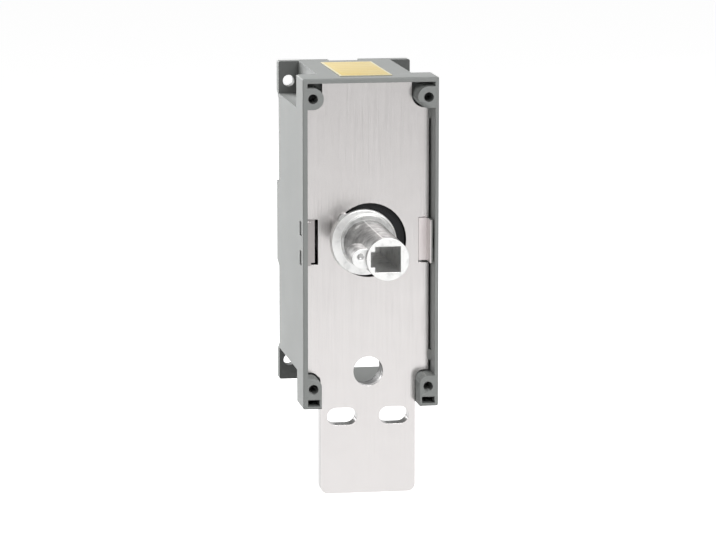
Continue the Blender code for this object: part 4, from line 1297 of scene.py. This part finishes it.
@dataclass
class OpeningRing(EasedNode):
    """The black ring, cut back to the plate's opening."""

    opening: PlateOpening = field(default_factory=PlateOpening)
    bore: float = 0.0140

    def reshape(self, piece: Piece) -> None:
        """Move the ring's neck into the opening. Its flange and bore keep their place.

        Args:
            piece: the merged copy.
        """
        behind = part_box("front_plate")[1].y
        for vert in piece.data.vertices:
            point = vert.co
            in_opening = reach(point, self.opening.cad_centre) < self.opening.cad_radius
            if point.y < behind and reach(point, AXIS) > self.bore and in_opening:
                self.opening.carry(point)


@dataclass
class TopLabel:
    """The bare label on the top face, where the photo has it."""

    left: float = -0.0136
    right: float = 0.0118
    thickness: float = 0.0003
    front: float = -0.0800
    back: float = -0.0180

    def build(self) -> Piece:
        """Build the label with softly rounded corners.

        Returns:
            The label.
        """
        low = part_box("top_label")[0].z
        piece = add_block(
            "top_label_film", (self.left, self.front, low), (self.right, self.back, low + self.thickness)
        )
        ease(piece, self.thickness / 3)
        smooth(piece)
        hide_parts("top_label")
        return piece


@dataclass
class Studio:
    """The floor, lamps, white surround and camera."""

    azimuth: float = 9.185
    elevation: float = 9.06
    distance: float = 1.884
    lens: float = 197.4
    sensor: float = 36.0
    far_end: float = 30.0
    target: Point = (-0.00638, -0.089, -0.01246)
    floor_z: float = -0.30
    floor_size: float = 12.0
    floor_setback: float = 2.0
    floor_colour: Colour = (0.86, 0.86, 0.86)
    floor_roughness: float = 0.9
    lamps: tuple[tuple[str, Point, float, float], ...] = (
        ("lamp_front", (0.45, -2.2, 1.3), 1.0, 27.0),
        ("lamp_left", (-1.2, 1.7, 0.7), 1.6, 38.0),
        ("lamp_top", (-0.2, 0.2, 2.0), 1.6, 13.5),
    )
    world_level: float = 0.19
    floor_to_eye: float = 0.80
    floor_to_mirror: float = 0.50

    def build(self) -> None:
        """Build the whole studio."""
        self.floor()
        self.world()
        for name, place, size, power in self.lamps:
            self.lamp(name, place, size, power)
        self.camera()
        bpy.context.scene.view_settings.view_transform = "Standard"

    def floor(self) -> None:
        """Lay the pale floor, which is white to the eye but keeps the shadow."""
        clear_selection()
        place = (0.0, self.floor_setback, self.floor_z)
        bpy.ops.mesh.primitive_plane_add(size=self.floor_size, location=place)
        floor = bpy.context.active_object
        floor.name = "studio_floor"
        settle(floor)
        material = bpy.data.materials.new("studio_floor")
        material.use_nodes = True
        sheet = Sheet(material.node_tree)
        path = sheet.add("ShaderNodeLightPath").outputs
        to_eye = sheet.math("MULTIPLY", path["Is Camera Ray"], self.floor_to_eye)
        to_mirror = sheet.math("MULTIPLY", path["Is Glossy Ray"], self.floor_to_mirror)
        sheet.shade(
            Base_Color=four(self.floor_colour), Roughness=self.floor_roughness, Specular_IOR_Level=0.0,
            Emission_Color=WHITE, Emission_Strength=sheet.math("MAXIMUM", to_eye, to_mirror),
        )
        floor.data.materials.append(material)

    def world(self) -> None:
        """Set a surround that is white to the eye, in mirrors and through glass, but lights softly."""
        world = bpy.data.worlds.new("studio")
        bpy.context.scene.world = world
        world.use_nodes = True
        sheet = Sheet(world.node_tree)
        path = sheet.add("ShaderNodeLightPath").outputs
        direct = sheet.math("MAXIMUM", path["Is Camera Ray"], path["Is Glossy Ray"])
        seen = sheet.math("MAXIMUM", direct, path["Is Transmission Ray"])
        strength = sheet.spread(seen, self.world_level, 1.0)
        sheet.fill(world.node_tree.nodes["Background"], Color=WHITE, Strength=strength)

    def lamp(self, name: str, place: Point, size: float, power: float) -> None:
        """Add a soft square lamp that looks at the object.

        Args:
            name: its name.
            place: where it stands.
            size: its width.
            power: its power in watts.
        """
        light = bpy.data.lights.new(name, "AREA")
        light.size = size
        light.energy = power
        lamp = bpy.data.objects.new(name, light)
        lamp.location = place
        lamp.rotation_euler = (Vector(self.target) - Vector(place)).to_track_quat("-Z", "Y").to_euler()
        bpy.context.scene.collection.objects.link(lamp)

    def camera(self) -> None:
        """Stand the camera at the photograph's angle."""
        turn, rise = math.radians(self.azimuth), math.radians(self.elevation)
        level = math.cos(rise)
        forward = Vector((math.sin(turn) * level, math.cos(turn) * level, -math.sin(rise)))
        data = bpy.data.cameras.new("camera")
        data.lens = self.lens
        data.sensor_width = self.sensor
        data.clip_end = self.far_end
        camera = bpy.data.objects.new("camera", data)
        camera.location = Vector(self.target) - forward * self.distance
        camera.rotation_euler = forward.to_track_quat("-Z", "Y").to_euler()
        bpy.context.scene.collection.objects.link(camera)
        bpy.context.scene.camera = camera


EASED: tuple[tuple[EasedNode, Slot], ...] = (
    (FrontPlate("front_plate", 0.00012), Slot.STEEL),
    (OpeningRing("bearing_ring", 0.00012), Slot.BLACK),
    (EasedNode("side_clip_left", 0.00025), Slot.CLIP),
    (RightClip("side_clip_right", 0.00025), Slot.CLIP),
    (Case("housing", 0.0), Slot.CASE),
)


def main() -> None:
    """Dress the interlock, build its fine pieces and set up the studio."""
    logging.basicConfig(level=logging.INFO, format="%(name)s: %(message)s")
    for thing in list(bpy.data.objects):
        bpy.data.objects.remove(thing, do_unlink=True)
    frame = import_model()
    dresser = Dresser()
    dresser.make_all()
    dresser.nodes(frame)
    dresser.piece(CastHub().build(), Body.TURNING, Slot.ZINC)
    for eased, slot in EASED:
        dresser.piece(eased.build(), Body.CASE, slot)
    dresser.piece(TopLabel().build(), Body.CASE, Slot.LABEL)
    Studio().build()


if __name__ == "__main__":
    main()
